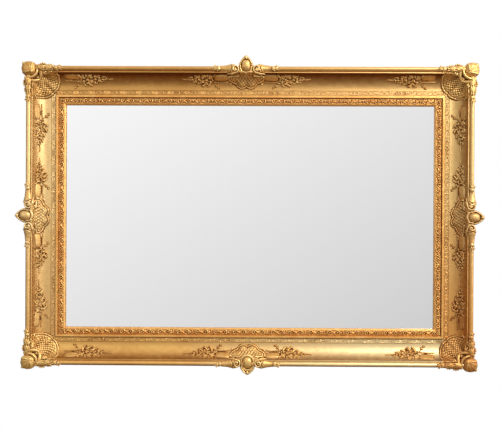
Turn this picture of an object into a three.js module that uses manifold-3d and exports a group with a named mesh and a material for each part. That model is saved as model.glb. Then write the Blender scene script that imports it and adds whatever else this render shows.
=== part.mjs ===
// Overmantel mirror: a gilt frame of wood mouldings with cast composition ornament, a plate of mirror
// glass, a boarded back and two ring hangers.
//
// Millimetres. The whole object is drawn as it is looked at: x to the right, y up, z out of the wall
// towards the viewer, with the wall plane at z = 0 and the origin in the middle of the back. The last
// lines turn it, so that it stands with +Z up and its face looking along -Y.
//
// Places across the frame are given as inset, from the outer edge of the moulding towards the glass,
// and depth, from the wall towards the viewer.
import * as THREE from 'three';
import { mergeVertices } from 'three/addons/utils/BufferGeometryUtils.js';
import Module from 'manifold-3d';

const wasm = await Module();
wasm.setup();

// ---- Driving dimensions ---------------------------------------------------------------------------

const BODY_WIDTH = 1500; // over the outer edges of the moulding, without the ornament
const BODY_HEIGHT = 1003;
const SEAT_GAP = 0.3; // glue line or bedding between two pieces that rest on each other

// Back frame: four mitred pine lengths that carry everything.
const BACK_DEPTH = 29.3;
const BACK_INSET = 8; // the back frame lies inside the moulding's outer edge
const REBATE_WIDTH = 10; // for the back boards
const BOARD_THICKNESS = 8;
const BOARD_COUNT = 3;
const BOARD_PLAY = 0.4; // at each edge of a board

// Cove moulding: an outer torus, a fillet, a deep cove and a flat frieze.
const TORUS_RADIUS = 8;
const TORUS_CREST = 86;
const SIDE_WALL_INSET = 5;
const TORUS_END_ANGLE = 25; // where the torus meets the quirk, over the plane of the frame
const QUIRK_WIDTH = 1;
const QUIRK_DEPTH = 2;
const FILLET_WIDTH = 4.5;
const FILLET_DEPTH = 81;
const COVE_DROP = 1; // from the fillet's face down its chamfer to the cove
const COVE_WIDTH = 48;
const COVE_FALL = 44;
const FRIEZE_WIDTH = 20;

// Sight moulding: a raised fillet, a groove, a bed for the running ornament and a lip.
const SIGHT_CHAMFER = 0.8;
const SIGHT_FILLET_WIDTH = 6.8;
const SIGHT_FILLET_RISE = 8; // over the frieze
const SIGHT_GROOVE_WIDTH = 4;
const ORNAMENT_BED_WIDTH = 13;
const ORNAMENT_BED_RISE = 2.5;
const ORNAMENT_STRIP_HEIGHT = 6;
const SIGHT_LIP_WIDTH = 10;
const SIGHT_EDGE_THICKNESS = 2.6;

// Mirror plate and the fillets that hold it from behind.
const PLATE_THICKNESS = 5;
const PLATE_LAP = 8; // how far the sight moulding covers the plate
const POCKET_PLAY = 2; // between the plate's edge and the back frame
const GLAZING_FILLET_SIZE = 12;

// Cast ornament.
const CREST_RISE = { top: 39, right: 38, bottom: 31, left: 38 }; // of each centre head over the edge
const CENTRE_SHIFT = { top: -13, right: 0, bottom: 3.5, left: 0 }; // along each side, clockwise
const CREST = { width: 46, foot: 0.12, shoulder: 0.42, bevel: 6, depth: 22 }; // shares are of its rise
const CABOCHON = { width: 30, length: 36, depth: 30 };
const COLLAR_RADIUS = 19;
const COLLAR_THICKNESS = 9;
const CENTRE_FAN_WIDTH = 112;
const CENTRE_FAN_SWELL = 8;
const FAN_FOOT_SHARE = 0.36; // of the fan's width, under the collar
const CENTRE_FOLIAGE_REACH = 104; // along the torus, from the middle
const FOLIAGE_THICKNESS = 3.5;
const FOLIAGE_WRAP = [15, 235]; // degrees round the torus, from its inner end over the crest
const CORNER_CREST_RISE = 15;
const CORNER_HEAD_RADIUS = 19;
const CORNER_HEAD_DEPTH = 36;
const CORNER_FOLIAGE_REACH = 128;
const CORNER_FAN_RISE = 8;
const SPRAY_THICKNESS = 8;
const SPRAY_EDGE = 1.5;
const SPRAY_SWAY = 3; // of its middle line, to either side
const SPRAY_WIDTH = 38;
const SPRAY_PLAY = 4; // between a spray's stem and the fan that it springs from
const CORNER_SPRAY_LENGTH = 168;
const CENTRE_SPRAY_LENGTH = 160;
const CORNER_SPRAY_SHARE = 0.52; // of the room between two fans' rims, where that is short
const CENTRE_SPRAY_SHARE = 0.43;

// Corner keys: bow-tie tongues let into the back across each mitre.
const KEY_LENGTH = 62;
const KEY_END_WIDTH = 24;
const KEY_WAIST_WIDTH = 12;
const KEY_THICKNESS = 10;

// Ring hangers, each in a pocket in the back of a stile.
const HANGER_DROP = 300; // from the outer edge of the top moulding to the ring's pivot
const POCKET_WIDTH = 40;
const POCKET_DEPTH = 8;
const POCKET_ABOVE_PIVOT = 32;
const POCKET_BELOW_PIVOT = 68;
const STRAP_WIDTH = 16;
const STRAP_THICKNESS = 1.2;
const STRAP_BELOW_PIVOT = 62;
const EYE_WALL = 1.7;
const RING_WIRE_RADIUS = 1.4;
const RING_CLEARANCE = 0.35; // all round the wire, in the eye
const RING_INNER_WIDTH = 22;
const RING_STRAIGHT = 10; // from the bar to the start of the bend
const SCREW_DROPS = [34, 52]; // from the pivot down to each screw
const SCREW_HEAD_RADIUS = 3.6;
const SCREW_HEAD_HEIGHT = 1.8;
const SCREW_SHANK_RADIUS = 1.9;
const SCREW_LENGTH = 16;

// ---- Sizes that follow ----------------------------------------------------------------------------

const TORUS_CENTRE = TORUS_CREST - TORUS_RADIUS;
const FILLET_INSET = 2 * TORUS_RADIUS + QUIRK_WIDTH;
const COVE_INSET = FILLET_INSET + FILLET_WIDTH;
const FRIEZE_INSET = COVE_INSET + COVE_WIDTH;
const COVE_START_DEPTH = FILLET_DEPTH - COVE_DROP;
const FRIEZE_DEPTH = COVE_START_DEPTH - COVE_FALL;
const SIGHT_INSET = FRIEZE_INSET + FRIEZE_WIDTH;
const GROOVE_INSET = SIGHT_INSET + SIGHT_FILLET_WIDTH;
const ORNAMENT_INSET = GROOVE_INSET + SIGHT_GROOVE_WIDTH;
const LIP_INSET = ORNAMENT_INSET + ORNAMENT_BED_WIDTH;
const FACE_WIDTH = LIP_INSET + SIGHT_LIP_WIDTH;
const MOULDING_SEAT = BACK_DEPTH + SEAT_GAP;
const PLATE_INSET = FACE_WIDTH - PLATE_LAP;
const BACK_INNER = PLATE_INSET - POCKET_PLAY;
const REBATE_INSET = BACK_INNER - REBATE_WIDTH;

const CORNER_HEAD_INSET = TORUS_RADIUS;
const CORNER_FAN_RADIUS = (SIGHT_INSET - 3 - CORNER_HEAD_INSET) * Math.SQRT2;
const EYE_RADIUS = RING_WIRE_RADIUS + RING_CLEARANCE + EYE_WALL;
const PIVOT_DEPTH = POCKET_DEPTH - SEAT_GAP - EYE_RADIUS;

const SIDES = {
  top: { run: BODY_WIDTH, turn: 0, x: 0, y: BODY_HEIGHT / 2 },
  right: { run: BODY_HEIGHT, turn: -Math.PI / 2, x: BODY_WIDTH / 2, y: 0 },
  bottom: { run: BODY_WIDTH, turn: Math.PI, x: 0, y: -BODY_HEIGHT / 2 },
  left: { run: BODY_HEIGHT, turn: Math.PI / 2, x: -BODY_WIDTH / 2, y: 0 },
};
const CORNERS = {
  tl: { x: -1, y: 1, turn: 0 },
  tr: { x: 1, y: 1, turn: -Math.PI / 2 },
  br: { x: 1, y: -1, turn: Math.PI },
  bl: { x: -1, y: -1, turn: Math.PI / 2 },
};

// ---- Finishes -------------------------------------------------------------------------------------

const finish = (color, roughness, metalness) =>
  new THREE.MeshStandardMaterial({ color, roughness, metalness });
const GILT = () => finish('#c8924e', 0.4, 0.9);
const PINE = () => finish('#b08a5a', 0.75, 0);
const MIRROR = () => finish('#e4e4e2', 0.04, 1);
const IRON = () => finish('#8f8a80', 0.4, 0.9);
const BRASS = () => finish('#b08f4e', 0.35, 0.9);

// ---- Solids ---------------------------------------------------------------------------------------

function solidOf(geometry) {
  const bare = geometry.clone();
  bare.deleteAttribute('normal');
  bare.deleteAttribute('uv');
  const merged = mergeVertices(bare, 1e-4);
  return new wasm.Manifold(new wasm.Mesh({
    numProp: 3,
    vertProperties: merged.attributes.position.array,
    triVerts: new Uint32Array(merged.index.array),
  }));
}

function geometryOf(solid) {
  const mesh = solid.getMesh();
  const geometry = new THREE.BufferGeometry();
  geometry.setAttribute('position', new THREE.BufferAttribute(mesh.vertProperties, 3));
  geometry.setIndex(new THREE.BufferAttribute(mesh.triVerts, 1));
  return geometry;
}

// The other hand of an indexed geometry, mirrored in x, with its faces listed the right way round.
function mirrored(geometry) {
  const other = geometry.clone().scale(-1, 1, 1);
  const faces = Array.from(other.index.array);
  for (let i = 0; i < faces.length; i += 3) [faces[i + 1], faces[i + 2]] = [faces[i + 2], faces[i + 1]];
  return other.setIndex(faces);
}

function joined(geometries) {
  return geometries.map(solidOf).reduce((whole, next) => whole.add(next));
}

function cutBy(solid, tools) {
  return tools.reduce((left, tool) => left.subtract(solidOf(tool)), solid);
}

// A box from its lowest to its highest corner.
function block(low, high) {
  const size = high.map((value, axis) => value - low[axis]);
  const box = new THREE.BoxGeometry(...size);
  return box.translate(...high.map((value, axis) => (value + low[axis]) / 2));
}

// A flat outline in x and y, extruded from one depth to another.
function slab(outline, fromDepth, toDepth) {
  const shape = new THREE.Shape(outline.map(([x, y]) => new THREE.Vector2(x, y)));
  const depth = toDepth - fromDepth;
  return new THREE.ExtrudeGeometry(shape, { depth, bevelEnabled: false }).translate(0, 0, fromDepth);
}

function ball(x, y, z, radiusX, radiusY, radiusZ) {
  return new THREE.SphereGeometry(1, 12, 8).scale(radiusX, radiusY, radiusZ).translate(x, y, z);
}

// Points of an arc: angles in degrees, from the first to the last.
function arc(centre, radii, from, to, steps) {
  return Array.from({ length: steps + 1 }, (_, step) => {
    const angle = THREE.MathUtils.degToRad(from + ((to - from) * step) / steps);
    return [centre[0] + radii[0] * Math.cos(angle), centre[1] + radii[1] * Math.sin(angle)];
  });
}

// ---- Sections of the mouldings, as [inset, depth] ---------------------------------------------------

// The outer side and the face of the cove moulding, from its foot outside to the frieze's end.
function coveFace() {
  const wallAngle = THREE.MathUtils.radToDeg(Math.acos((SIDE_WALL_INSET - TORUS_RADIUS) / TORUS_RADIUS));
  const torusCentre = [TORUS_RADIUS, TORUS_CENTRE];
  const torus = arc(torusCentre, [TORUS_RADIUS, TORUS_RADIUS], 360 - wallAngle, TORUS_END_ANGLE, 10);
  const cove = arc([FRIEZE_INSET, COVE_START_DEPTH], [COVE_WIDTH, COVE_FALL], 180, 270, 9);
  return [
    ...torus,
    [FILLET_INSET - QUIRK_WIDTH / 2, FILLET_DEPTH - QUIRK_DEPTH],
    [FILLET_INSET, FILLET_DEPTH],
    [COVE_INSET - 0.5, FILLET_DEPTH],
    ...cove,
  ];
}

function coveSection() {
  return [
    [SIDE_WALL_INSET, MOULDING_SEAT],
    ...coveFace(),
    [SIGHT_INSET - SEAT_GAP, FRIEZE_DEPTH],
    [SIGHT_INSET - SEAT_GAP, MOULDING_SEAT],
  ];
}

function sightSection() {
  const fillet = FRIEZE_DEPTH + SIGHT_FILLET_RISE;
  const bed = FRIEZE_DEPTH + ORNAMENT_BED_RISE;
  const edge = MOULDING_SEAT + SIGHT_EDGE_THICKNESS;
  return [
    [SIGHT_INSET, MOULDING_SEAT],
    [SIGHT_INSET, fillet - SIGHT_CHAMFER],
    [SIGHT_INSET + SIGHT_CHAMFER, fillet],
    [GROOVE_INSET - SIGHT_CHAMFER, fillet],
    [GROOVE_INSET, fillet - SIGHT_CHAMFER],
    [GROOVE_INSET + SIGHT_CHAMFER, bed - SIGHT_CHAMFER],
    [ORNAMENT_INSET - SIGHT_CHAMFER, bed - SIGHT_CHAMFER],
    [ORNAMENT_INSET, bed],
    ...arc([LIP_INSET, edge], [SIGHT_LIP_WIDTH, bed - edge], 90, 0, 5),
    [FACE_WIDTH, MOULDING_SEAT],
  ];
}

function ornamentStripSection() {
  const foot = FRIEZE_DEPTH + ORNAMENT_BED_RISE + SEAT_GAP;
  const half = ORNAMENT_BED_WIDTH / 2 - SEAT_GAP;
  return arc([ORNAMENT_INSET + ORNAMENT_BED_WIDTH / 2, foot], [half, ORNAMENT_STRIP_HEIGHT], 180, 0, 8);
}

function backSection() {
  return [
    [BACK_INSET, 0],
    [BACK_INSET, BACK_DEPTH],
    [BACK_INNER, BACK_DEPTH],
    [BACK_INNER, BOARD_THICKNESS + SEAT_GAP],
    [REBATE_INSET, BOARD_THICKNESS + SEAT_GAP],
    [REBATE_INSET, 0],
  ];
}

function glazingFilletSection() {
  const front = BACK_DEPTH - PLATE_THICKNESS - SEAT_GAP;
  const outer = BACK_INNER + SEAT_GAP;
  const inner = outer + GLAZING_FILLET_SIZE;
  return [
    [outer, front - GLAZING_FILLET_SIZE],
    [outer, front],
    [inner, front],
    [inner, front - GLAZING_FILLET_SIZE / 3],
    [outer + GLAZING_FILLET_SIZE / 3, front - GLAZING_FILLET_SIZE],
  ];
}

// An outline moved outward by one distance on every edge.
function widened(outline, distance) {
  const normal = ([ax, ay], [bx, by]) => {
    const length = Math.hypot(bx - ax, by - ay);
    return [(ay - by) / length, (bx - ax) / length];
  };
  return outline.map((point, index) => {
    const before = outline[(index + outline.length - 1) % outline.length];
    const after = outline[(index + 1) % outline.length];
    const [n, m] = [normal(before, point), normal(point, after)];
    const scale = distance / (1 + n[0] * m[0] + n[1] * m[1]);
    return [point[0] + (n[0] + m[0]) * scale, point[1] + (n[1] + m[1]) * scale];
  });
}

const squareEnd = () => 0;
const mitredEnd = (inset) => inset + SEAT_GAP / Math.SQRT2;
const crossedEnd = () => -SEAT_GAP; // both lengths run on across the corner, to the outer edge

// A length of moulding along x with its outer edge on y = 0. shortBy is what each end loses at an inset.
function mouldingLength(section, run, shortBy = mitredEnd) {
  const contour = section.map(([inset, depth]) => new THREE.Vector2(inset, depth));
  if (THREE.ShapeUtils.isClockWise(contour)) contour.reverse();
  const endOf = (inset) => run / 2 - shortBy(inset);
  const left = contour.map((p) => [-endOf(p.x), -p.x, p.y]);
  const right = contour.map((p) => [endOf(p.x), -p.x, p.y]);
  const count = contour.length;
  const faces = [];
  contour.forEach((_, i) => {
    const j = (i + 1) % count;
    faces.push([i, i + count, j], [j, i + count, j + count]);
  });
  THREE.ShapeUtils.triangulateShape(contour, []).forEach(([a, b, c]) => {
    faces.push([a, b, c], [a + count, c + count, b + count]);
  });
  const geometry = new THREE.BufferGeometry();
  geometry.setAttribute('position', new THREE.Float32BufferAttribute([...left, ...right].flat(), 3));
  geometry.setIndex(faces.flat());
  return geometry;
}

// What an ornament keeps clear of: the cove moulding with its glue line, down to the wall.
function coveEnvelope(run, shortBy) {
  const section = [
    [SIDE_WALL_INSET, 0],
    ...coveFace(),
    [SIGHT_INSET + REBATE_WIDTH, FRIEZE_DEPTH],
    [SIGHT_INSET + REBATE_WIDTH, 0],
  ];
  return mouldingLength(widened(section, SEAT_GAP), run, shortBy);
}

// ---- Placing --------------------------------------------------------------------------------------

const faceView = new THREE.Group();

function add(parent, name, geometry, material) {
  const mesh = new THREE.Mesh(geometry, material);
  mesh.name = name;
  parent.add(mesh);
  return mesh;
}

function groupAt(x, y, turn) {
  const group = new THREE.Group();
  group.position.set(x, y, 0);
  group.rotation.z = turn;
  faceView.add(group);
  return group;
}

const sideGroups = {};
for (const [side, { turn, x, y }] of Object.entries(SIDES)) sideGroups[side] = groupAt(x, y, turn);

function onSide(side, geometry) {
  const { turn, x, y } = SIDES[side];
  return geometry.rotateZ(turn).translate(x, y, 0);
}

// ---- Back frame, keys and hanger pockets ------------------------------------------------------------

function keyOutline(play) {
  const bowTie = [
    [-KEY_LENGTH / 2, -KEY_END_WIDTH / 2],
    [0, -KEY_WAIST_WIDTH / 2],
    [KEY_LENGTH / 2, -KEY_END_WIDTH / 2],
    [KEY_LENGTH / 2, KEY_END_WIDTH / 2],
    [0, KEY_WAIST_WIDTH / 2],
    [-KEY_LENGTH / 2, KEY_END_WIDTH / 2],
  ];
  return play ? widened(bowTie.reverse(), play) : bowTie;
}

// A key lies square across the mitre, in the middle of the back frame's width.
function keyPlace({ x, y }) {
  const inset = (BACK_INSET + BACK_INNER) / 2;
  return {
    x: x * (BODY_WIDTH / 2 - inset),
    y: y * (BODY_HEIGHT / 2 - inset),
    turn: (-x * y * Math.PI) / 4,
  };
}

function keyPocket(corner) {
  const place = keyPlace(corner);
  const pocket = slab(keyOutline(SEAT_GAP), -1, KEY_THICKNESS + SEAT_GAP);
  return pocket.rotateZ(place.turn).translate(place.x, place.y, 0);
}

const HANGER_INSET = (BACK_INSET + REBATE_INSET) / 2;
const hangerPlace = (hand) => [hand * (BODY_WIDTH / 2 - HANGER_INSET), BODY_HEIGHT / 2 - HANGER_DROP];

function screwHole(x, y, radius, from, to) {
  const length = to - from;
  const hole = new THREE.CylinderGeometry(radius, radius, length, 16);
  return hole.rotateX(Math.PI / 2).translate(x, y, from + length / 2);
}

function hangerCuts(hand) {
  const [x, y] = hangerPlace(hand);
  const pocket = block(
    [x - POCKET_WIDTH / 2, y - POCKET_BELOW_PIVOT, -1],
    [x + POCKET_WIDTH / 2, y + POCKET_ABOVE_PIVOT, POCKET_DEPTH],
  );
  const holes = SCREW_DROPS.map((drop) =>
    screwHole(x, y - drop, SCREW_SHANK_RADIUS + SEAT_GAP, POCKET_DEPTH - 1, POCKET_DEPTH + SCREW_LENGTH));
  return [pocket, ...holes];
}

for (const [side, { run }] of Object.entries(SIDES)) {
  const hand = { left: -1, right: 1 }[side];
  const cuts = Object.values(CORNERS).map(keyPocket);
  if (hand) cuts.push(...hangerCuts(hand));
  const length = solidOf(onSide(side, mouldingLength(backSection(), run)));
  const kind = hand ? 'back_stile_' : 'back_rail_';
  add(faceView, kind + side, geometryOf(cutBy(length, cuts)), PINE());
}

for (const [corner, place] of Object.entries(CORNERS)) {
  const { x, y, turn } = keyPlace(place);
  add(groupAt(x, y, turn), 'corner_key_' + corner, slab(keyOutline(0), 0, KEY_THICKNESS), PINE());
}

// ---- Mouldings ------------------------------------------------------------------------------------

for (const [side, { run }] of Object.entries(SIDES)) {
  const parent = sideGroups[side];
  add(parent, 'cove_moulding_' + side, mouldingLength(coveSection(), run), GILT());
  add(parent, 'sight_moulding_' + side, mouldingLength(sightSection(), run), GILT());
  add(parent, 'sight_ornament_' + side, mouldingLength(ornamentStripSection(), run), GILT());
  add(parent, 'glazing_fillet_' + side, mouldingLength(glazingFilletSection(), run), PINE());
}

// ---- Mirror plate and back boards -------------------------------------------------------------------

const plateHalf = [BODY_WIDTH / 2 - PLATE_INSET, BODY_HEIGHT / 2 - PLATE_INSET];
add(
  faceView,
  'mirror_plate',
  block([-plateHalf[0], -plateHalf[1], BACK_DEPTH - PLATE_THICKNESS], [...plateHalf, BACK_DEPTH]),
  MIRROR(),
);

const boardsHalf = [BODY_WIDTH / 2 - REBATE_INSET - BOARD_PLAY, BODY_HEIGHT / 2 - REBATE_INSET - BOARD_PLAY];
const boardPitch = (2 * boardsHalf[0] + BOARD_PLAY) / BOARD_COUNT;
for (let board = 0; board < BOARD_COUNT; board += 1) {
  const left = -boardsHalf[0] + board * boardPitch;
  const solid = block(
    [left, -boardsHalf[1], 0],
    [left + boardPitch - BOARD_PLAY, boardsHalf[1], BOARD_THICKNESS],
  );
  add(faceView, 'back_board_' + (board + 1), solid, PINE());
}

// ---- Cast ornament ----------------------------------------------------------------------------------

// The depth of the cove moulding's face at an inset, over the cove and the frieze.
function faceDepth(inset) {
  const across = Math.min(1, Math.max(0, (FRIEZE_INSET - inset) / COVE_WIDTH));
  return COVE_START_DEPTH - COVE_FALL * Math.sqrt(1 - across * across);
}

// A skin of ornament over the torus, tapered from x = 0 to the end of its reach.
function torusFoliage(reach) {
  const radius = TORUS_RADIUS + FOLIAGE_THICKNESS;
  const centre = [TORUS_RADIUS, TORUS_CENTRE];
  const sleeve = mouldingLength(
    [...arc(centre, [radius, radius], ...FOLIAGE_WRAP, 10), centre],
    3 * reach,
    squareEnd,
  );
  const taper = slab(
    [[0, -2 * radius], [reach, -TORUS_RADIUS], [reach, 0], [0, radius]],
    0,
    TORUS_CREST + radius,
  );
  return geometryOf(solidOf(sleeve).intersect(solidOf(taper)));
}

// A bar bent along a half circle in the plane of the face, open towards the outer edge.
function collar(radius, thickness, depth) {
  const bend = new THREE.CatmullRomCurve3(
    arc([0, 0], [radius, radius], 170, 370, 8).map(([x, y]) => new THREE.Vector3(x, y, depth)),
  );
  const section = new THREE.Shape().absarc(0, 0, thickness / 2, 0, 2 * Math.PI);
  return new THREE.ExtrudeGeometry(section, { extrudePath: bend, steps: 10, curveSegments: 4 });
}

// The head of a centre piece: a pointed crest beyond the edge, a cabochon on the torus and a collar.
function centreHead(rise) {
  const { foot, shoulder, bevel, depth } = CREST;
  const half = CREST.width / 2 - bevel;
  const shape = new THREE.Shape([
    new THREE.Vector2(-half, rise * foot),
    new THREE.Vector2(half, rise * foot),
    new THREE.Vector2(half, rise * shoulder),
    new THREE.Vector2(0, rise - bevel * 1.5),
    new THREE.Vector2(-half, rise * shoulder),
  ]);
  const crest = new THREE.ExtrudeGeometry(shape, {
    depth: depth - 2 * bevel, bevelThickness: bevel, bevelSize: bevel, bevelSegments: 2,
  }).translate(0, 0, TORUS_CENTRE - depth / 2);
  const cabochon = ball(0, 2, TORUS_CREST - 3, CABOCHON.width / 2, CABOCHON.length / 2, CABOCHON.depth / 2);
  const ring = collar(COLLAR_RADIUS, COLLAR_THICKNESS, TORUS_CREST).translate(0, -COLLAR_RADIUS / 3, 0);
  return [crest, cabochon, ring];
}

// Three lobes, bulging over the cove from the collar to the frieze.
function centreFan() {
  const half = CENTRE_FAN_WIDTH / 2;
  const start = TORUS_RADIUS;
  const middle = (start + FRIEZE_INSET) / 2 + 6;
  const lobe = FRIEZE_INSET - middle;
  const outline = [
    [-half * FAN_FOOT_SHARE, -start],
    [-half, -middle + 12],
    ...arc([-half * 0.62, -middle], [half * 0.38, lobe * 0.86], 180, 250, 4),
    ...arc([0, -middle], [half * 0.5, lobe], 225, 315, 5),
    ...arc([half * 0.62, -middle], [half * 0.38, lobe * 0.86], 290, 360, 4),
    [half, -middle + 12],
    [half * FAN_FOOT_SHARE, -start],
  ];
  const first = COVE_INSET + COVE_WIDTH / 5;
  const insets = Array.from({ length: 7 }, (_, k) => first + ((FRIEZE_INSET - first) * k) / 6);
  const swell = insets.map((inset, k) => [
    inset,
    faceDepth(inset) + 2.5 + CENTRE_FAN_SWELL * Math.sin((Math.PI * k) / 6),
  ]);
  const shoulder = [[start, FRIEZE_DEPTH], [start, TORUS_CREST], [COVE_INSET + 3, FILLET_DEPTH + 2]];
  const bulge = mouldingLength(
    [...shoulder, ...swell, [FRIEZE_INSET, FRIEZE_DEPTH - 1]],
    2 * CENTRE_FAN_WIDTH,
    squareEnd,
  );
  return geometryOf(solidOf(bulge).intersect(solidOf(slab(outline, 0, TORUS_CREST + 1))));
}

for (const side of Object.keys(SIDES)) {
  const parts = [
    ...centreHead(CREST_RISE[side]),
    centreFan(),
    torusFoliage(CENTRE_FOLIAGE_REACH),
    mirrored(torusFoliage(CENTRE_FOLIAGE_REACH)),
  ];
  const solid = cutBy(joined(parts), [coveEnvelope(4 * CENTRE_FAN_WIDTH, squareEnd)]);
  const piece = geometryOf(solid).translate(CENTRE_SHIFT[side], 0, 0);
  add(sideGroups[side], 'centre_cartouche_' + side, piece, GILT());
}

// A corner piece is drawn for the top left corner, with the body's corner at x = y = 0.
function cornerFan() {
  const reach = CORNER_FAN_RADIUS;
  const hub = (COVE_INSET - CORNER_HEAD_INSET) * Math.SQRT2 + COLLAR_THICKNESS / 2;
  const rim = FRIEZE_DEPTH + CORNER_FAN_RISE;
  const dish = Array.from({ length: 7 }, (_, k) => [
    hub + ((reach - hub) * k) / 6,
    rim + (FILLET_DEPTH + 2 - rim) * Math.pow(1 - k / 6, 2.4),
  ]);
  const turned = new THREE.LatheGeometry(
    [[0, FRIEZE_DEPTH - 1], [reach - 1, FRIEZE_DEPTH - 1], ...dish.reverse(), [0, FILLET_DEPTH + 2]]
      .map(([radius, depth]) => new THREE.Vector2(radius, depth)),
    36,
  ).rotateX(Math.PI / 2).translate(CORNER_HEAD_INSET, -CORNER_HEAD_INSET, 0);
  const quarter = block([TORUS_RADIUS, -2 * reach, 0], [2 * reach, -TORUS_RADIUS, 2 * TORUS_CREST]);
  return geometryOf(solidOf(turned).intersect(solidOf(quarter)));
}

function cornerHead() {
  const centre = CORNER_HEAD_RADIUS - CORNER_CREST_RISE;
  const radii = [CORNER_HEAD_RADIUS, CORNER_HEAD_RADIUS, CORNER_HEAD_DEPTH / 2];
  const boss = ball(centre, -centre, TORUS_CREST - 6, ...radii);
  const ring = collar(COLLAR_RADIUS, COLLAR_THICKNESS, TORUS_CREST)
    .translate(0, -COLLAR_RADIUS / 2, 0)
    .rotateZ(Math.PI / 4)
    .translate(centre, -centre, 0);
  return [boss, ring];
}

function cornerCartouche() {
  const across = torusFoliage(CORNER_FOLIAGE_REACH);
  const down = mirrored(across).rotateZ(Math.PI / 2);
  const envelope = [
    coveEnvelope(2 * BODY_WIDTH, crossedEnd).translate(BODY_WIDTH, 0, 0),
    coveEnvelope(2 * BODY_WIDTH, crossedEnd).rotateZ(Math.PI / 2).translate(0, -BODY_WIDTH, 0),
  ];
  return geometryOf(cutBy(joined([...cornerHead(), cornerFan(), across, down]), envelope));
}

for (const [corner, { x, y, turn }] of Object.entries(CORNERS)) {
  const parent = groupAt((x * BODY_WIDTH) / 2, (y * BODY_HEIGHT) / 2, turn);
  add(parent, 'corner_cartouche_' + corner, cornerCartouche(), GILT());
}

// A spray lies on the cove from x = 0 along +x: a stem, a cluster of leaves and a tip.
function spray(length) {
  const middle = COVE_INSET + COVE_WIDTH * 0.55;
  const steps = 10;
  const edge = (hand) => Array.from({ length: steps + 1 }, (_, k) => {
    const share = k / steps;
    const half = (SPRAY_WIDTH / 2) * (0.16 + 0.84 * Math.pow(Math.sin(Math.PI * Math.pow(share, 0.8)), 0.8));
    const sway = SPRAY_SWAY * Math.sin(2 * Math.PI * share);
    return [share * length, -middle + sway + hand * half];
  });
  const outline = slab([...edge(-1), ...edge(1).reverse()], 0, TORUS_CREST);
  const insets = Array.from({ length: 7 }, (_, k) => middle + SPRAY_WIDTH * 0.6 * (k / 3 - 1));
  const swell = insets.map((inset, k) => [
    inset,
    faceDepth(inset) + SPRAY_EDGE + (SPRAY_THICKNESS - SPRAY_EDGE) * Math.sin((Math.PI * k) / 6),
  ]);
  const bulge = mouldingLength(
    [[insets[0], 0], ...swell, [insets[6], 0]],
    2 * length,
    squareEnd,
  );
  const solid = solidOf(bulge).intersect(solidOf(outline));
  return geometryOf(cutBy(solid, [coveEnvelope(4 * length, squareEnd)]));
}

// Each side has a spray from either corner fan and one from either end of its centre fan.
for (const [side, { run }] of Object.entries(SIDES)) {
  const cornerStart = run / 2 - CORNER_HEAD_INSET - CORNER_FAN_RADIUS - SPRAY_PLAY;
  const centreStart = CENTRE_FAN_WIDTH / 2 + SPRAY_PLAY;
  const room = cornerStart - centreStart;
  const cornerLength = Math.min(CORNER_SPRAY_LENGTH, CORNER_SPRAY_SHARE * room);
  const centreLength = Math.min(CENTRE_SPRAY_LENGTH, CENTRE_SPRAY_SHARE * room);
  for (const hand of [-1, 1]) {
    const end = hand < 0 ? 'a' : 'b';
    const outward = hand > 0 ? spray(centreLength) : mirrored(spray(centreLength));
    const inward = hand > 0 ? mirrored(spray(cornerLength)) : spray(cornerLength);
    outward.translate(hand * centreStart + CENTRE_SHIFT[side], 0, 0);
    inward.translate(hand * cornerStart, 0, 0);
    add(sideGroups[side], `spray_${side}_centre_${end}`, outward, GILT());
    add(sideGroups[side], `spray_${side}_corner_${end}`, inward, GILT());
  }
}

// ---- Ring hangers -----------------------------------------------------------------------------------

// Drawn with the ring's pivot at x = y = 0.
function hangerStrap() {
  const half = STRAP_WIDTH / 2;
  const outline = new THREE.Shape();
  outline.moveTo(-half, 0);
  outline.lineTo(-half, half - STRAP_BELOW_PIVOT);
  outline.absarc(0, half - STRAP_BELOW_PIVOT, half, Math.PI, 2 * Math.PI);
  outline.lineTo(half, 0);
  for (const drop of SCREW_DROPS) {
    outline.holes.push(new THREE.Path().absarc(0, -drop, SCREW_SHANK_RADIUS + SEAT_GAP, 0, 2 * Math.PI));
  }
  const top = POCKET_DEPTH - SEAT_GAP;
  const plate = new THREE.ExtrudeGeometry(outline, {
    depth: STRAP_THICKNESS, bevelEnabled: false, curveSegments: 8,
  }).translate(0, 0, top - STRAP_THICKNESS);
  const bore = RING_WIRE_RADIUS + RING_CLEARANCE;
  const eyeSection = new THREE.Shape().absarc(0, 0, EYE_RADIUS, 0, 2 * Math.PI);
  eyeSection.holes.push(new THREE.Path().absarc(0, 0, bore, 0, 2 * Math.PI));
  const eye = new THREE.ExtrudeGeometry(eyeSection, {
    depth: STRAP_WIDTH, bevelEnabled: false, curveSegments: 8,
  })
    .translate(0, 0, -half)
    .rotateY(Math.PI / 2)
    .translate(0, 0, PIVOT_DEPTH);
  const boreTool = new THREE.CylinderGeometry(bore, bore, 2 * STRAP_WIDTH, 16)
    .rotateZ(Math.PI / 2)
    .translate(0, 0, PIVOT_DEPTH);
  return geometryOf(cutBy(joined([plate, eye]), [boreTool]));
}

// The ring's bend: down one side, round the half circle and up the other side.
class RingPath extends THREE.Curve {
  constructor(halfWidth, straight) {
    super();
    this.halfWidth = halfWidth;
    this.straight = straight;
  }

  getPoint(share, target = new THREE.Vector3()) {
    const bend = Math.PI * this.halfWidth;
    const along = share * (2 * this.straight + bend);
    if (along < this.straight) return target.set(-this.halfWidth, -along, 0);
    if (along > this.straight + bend) {
      return target.set(this.halfWidth, along - bend - 2 * this.straight, 0);
    }
    const angle = Math.PI + (along - this.straight) / this.halfWidth;
    return target.set(
      this.halfWidth * Math.cos(angle),
      -this.straight + this.halfWidth * Math.sin(angle),
      0,
    );
  }
}

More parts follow.
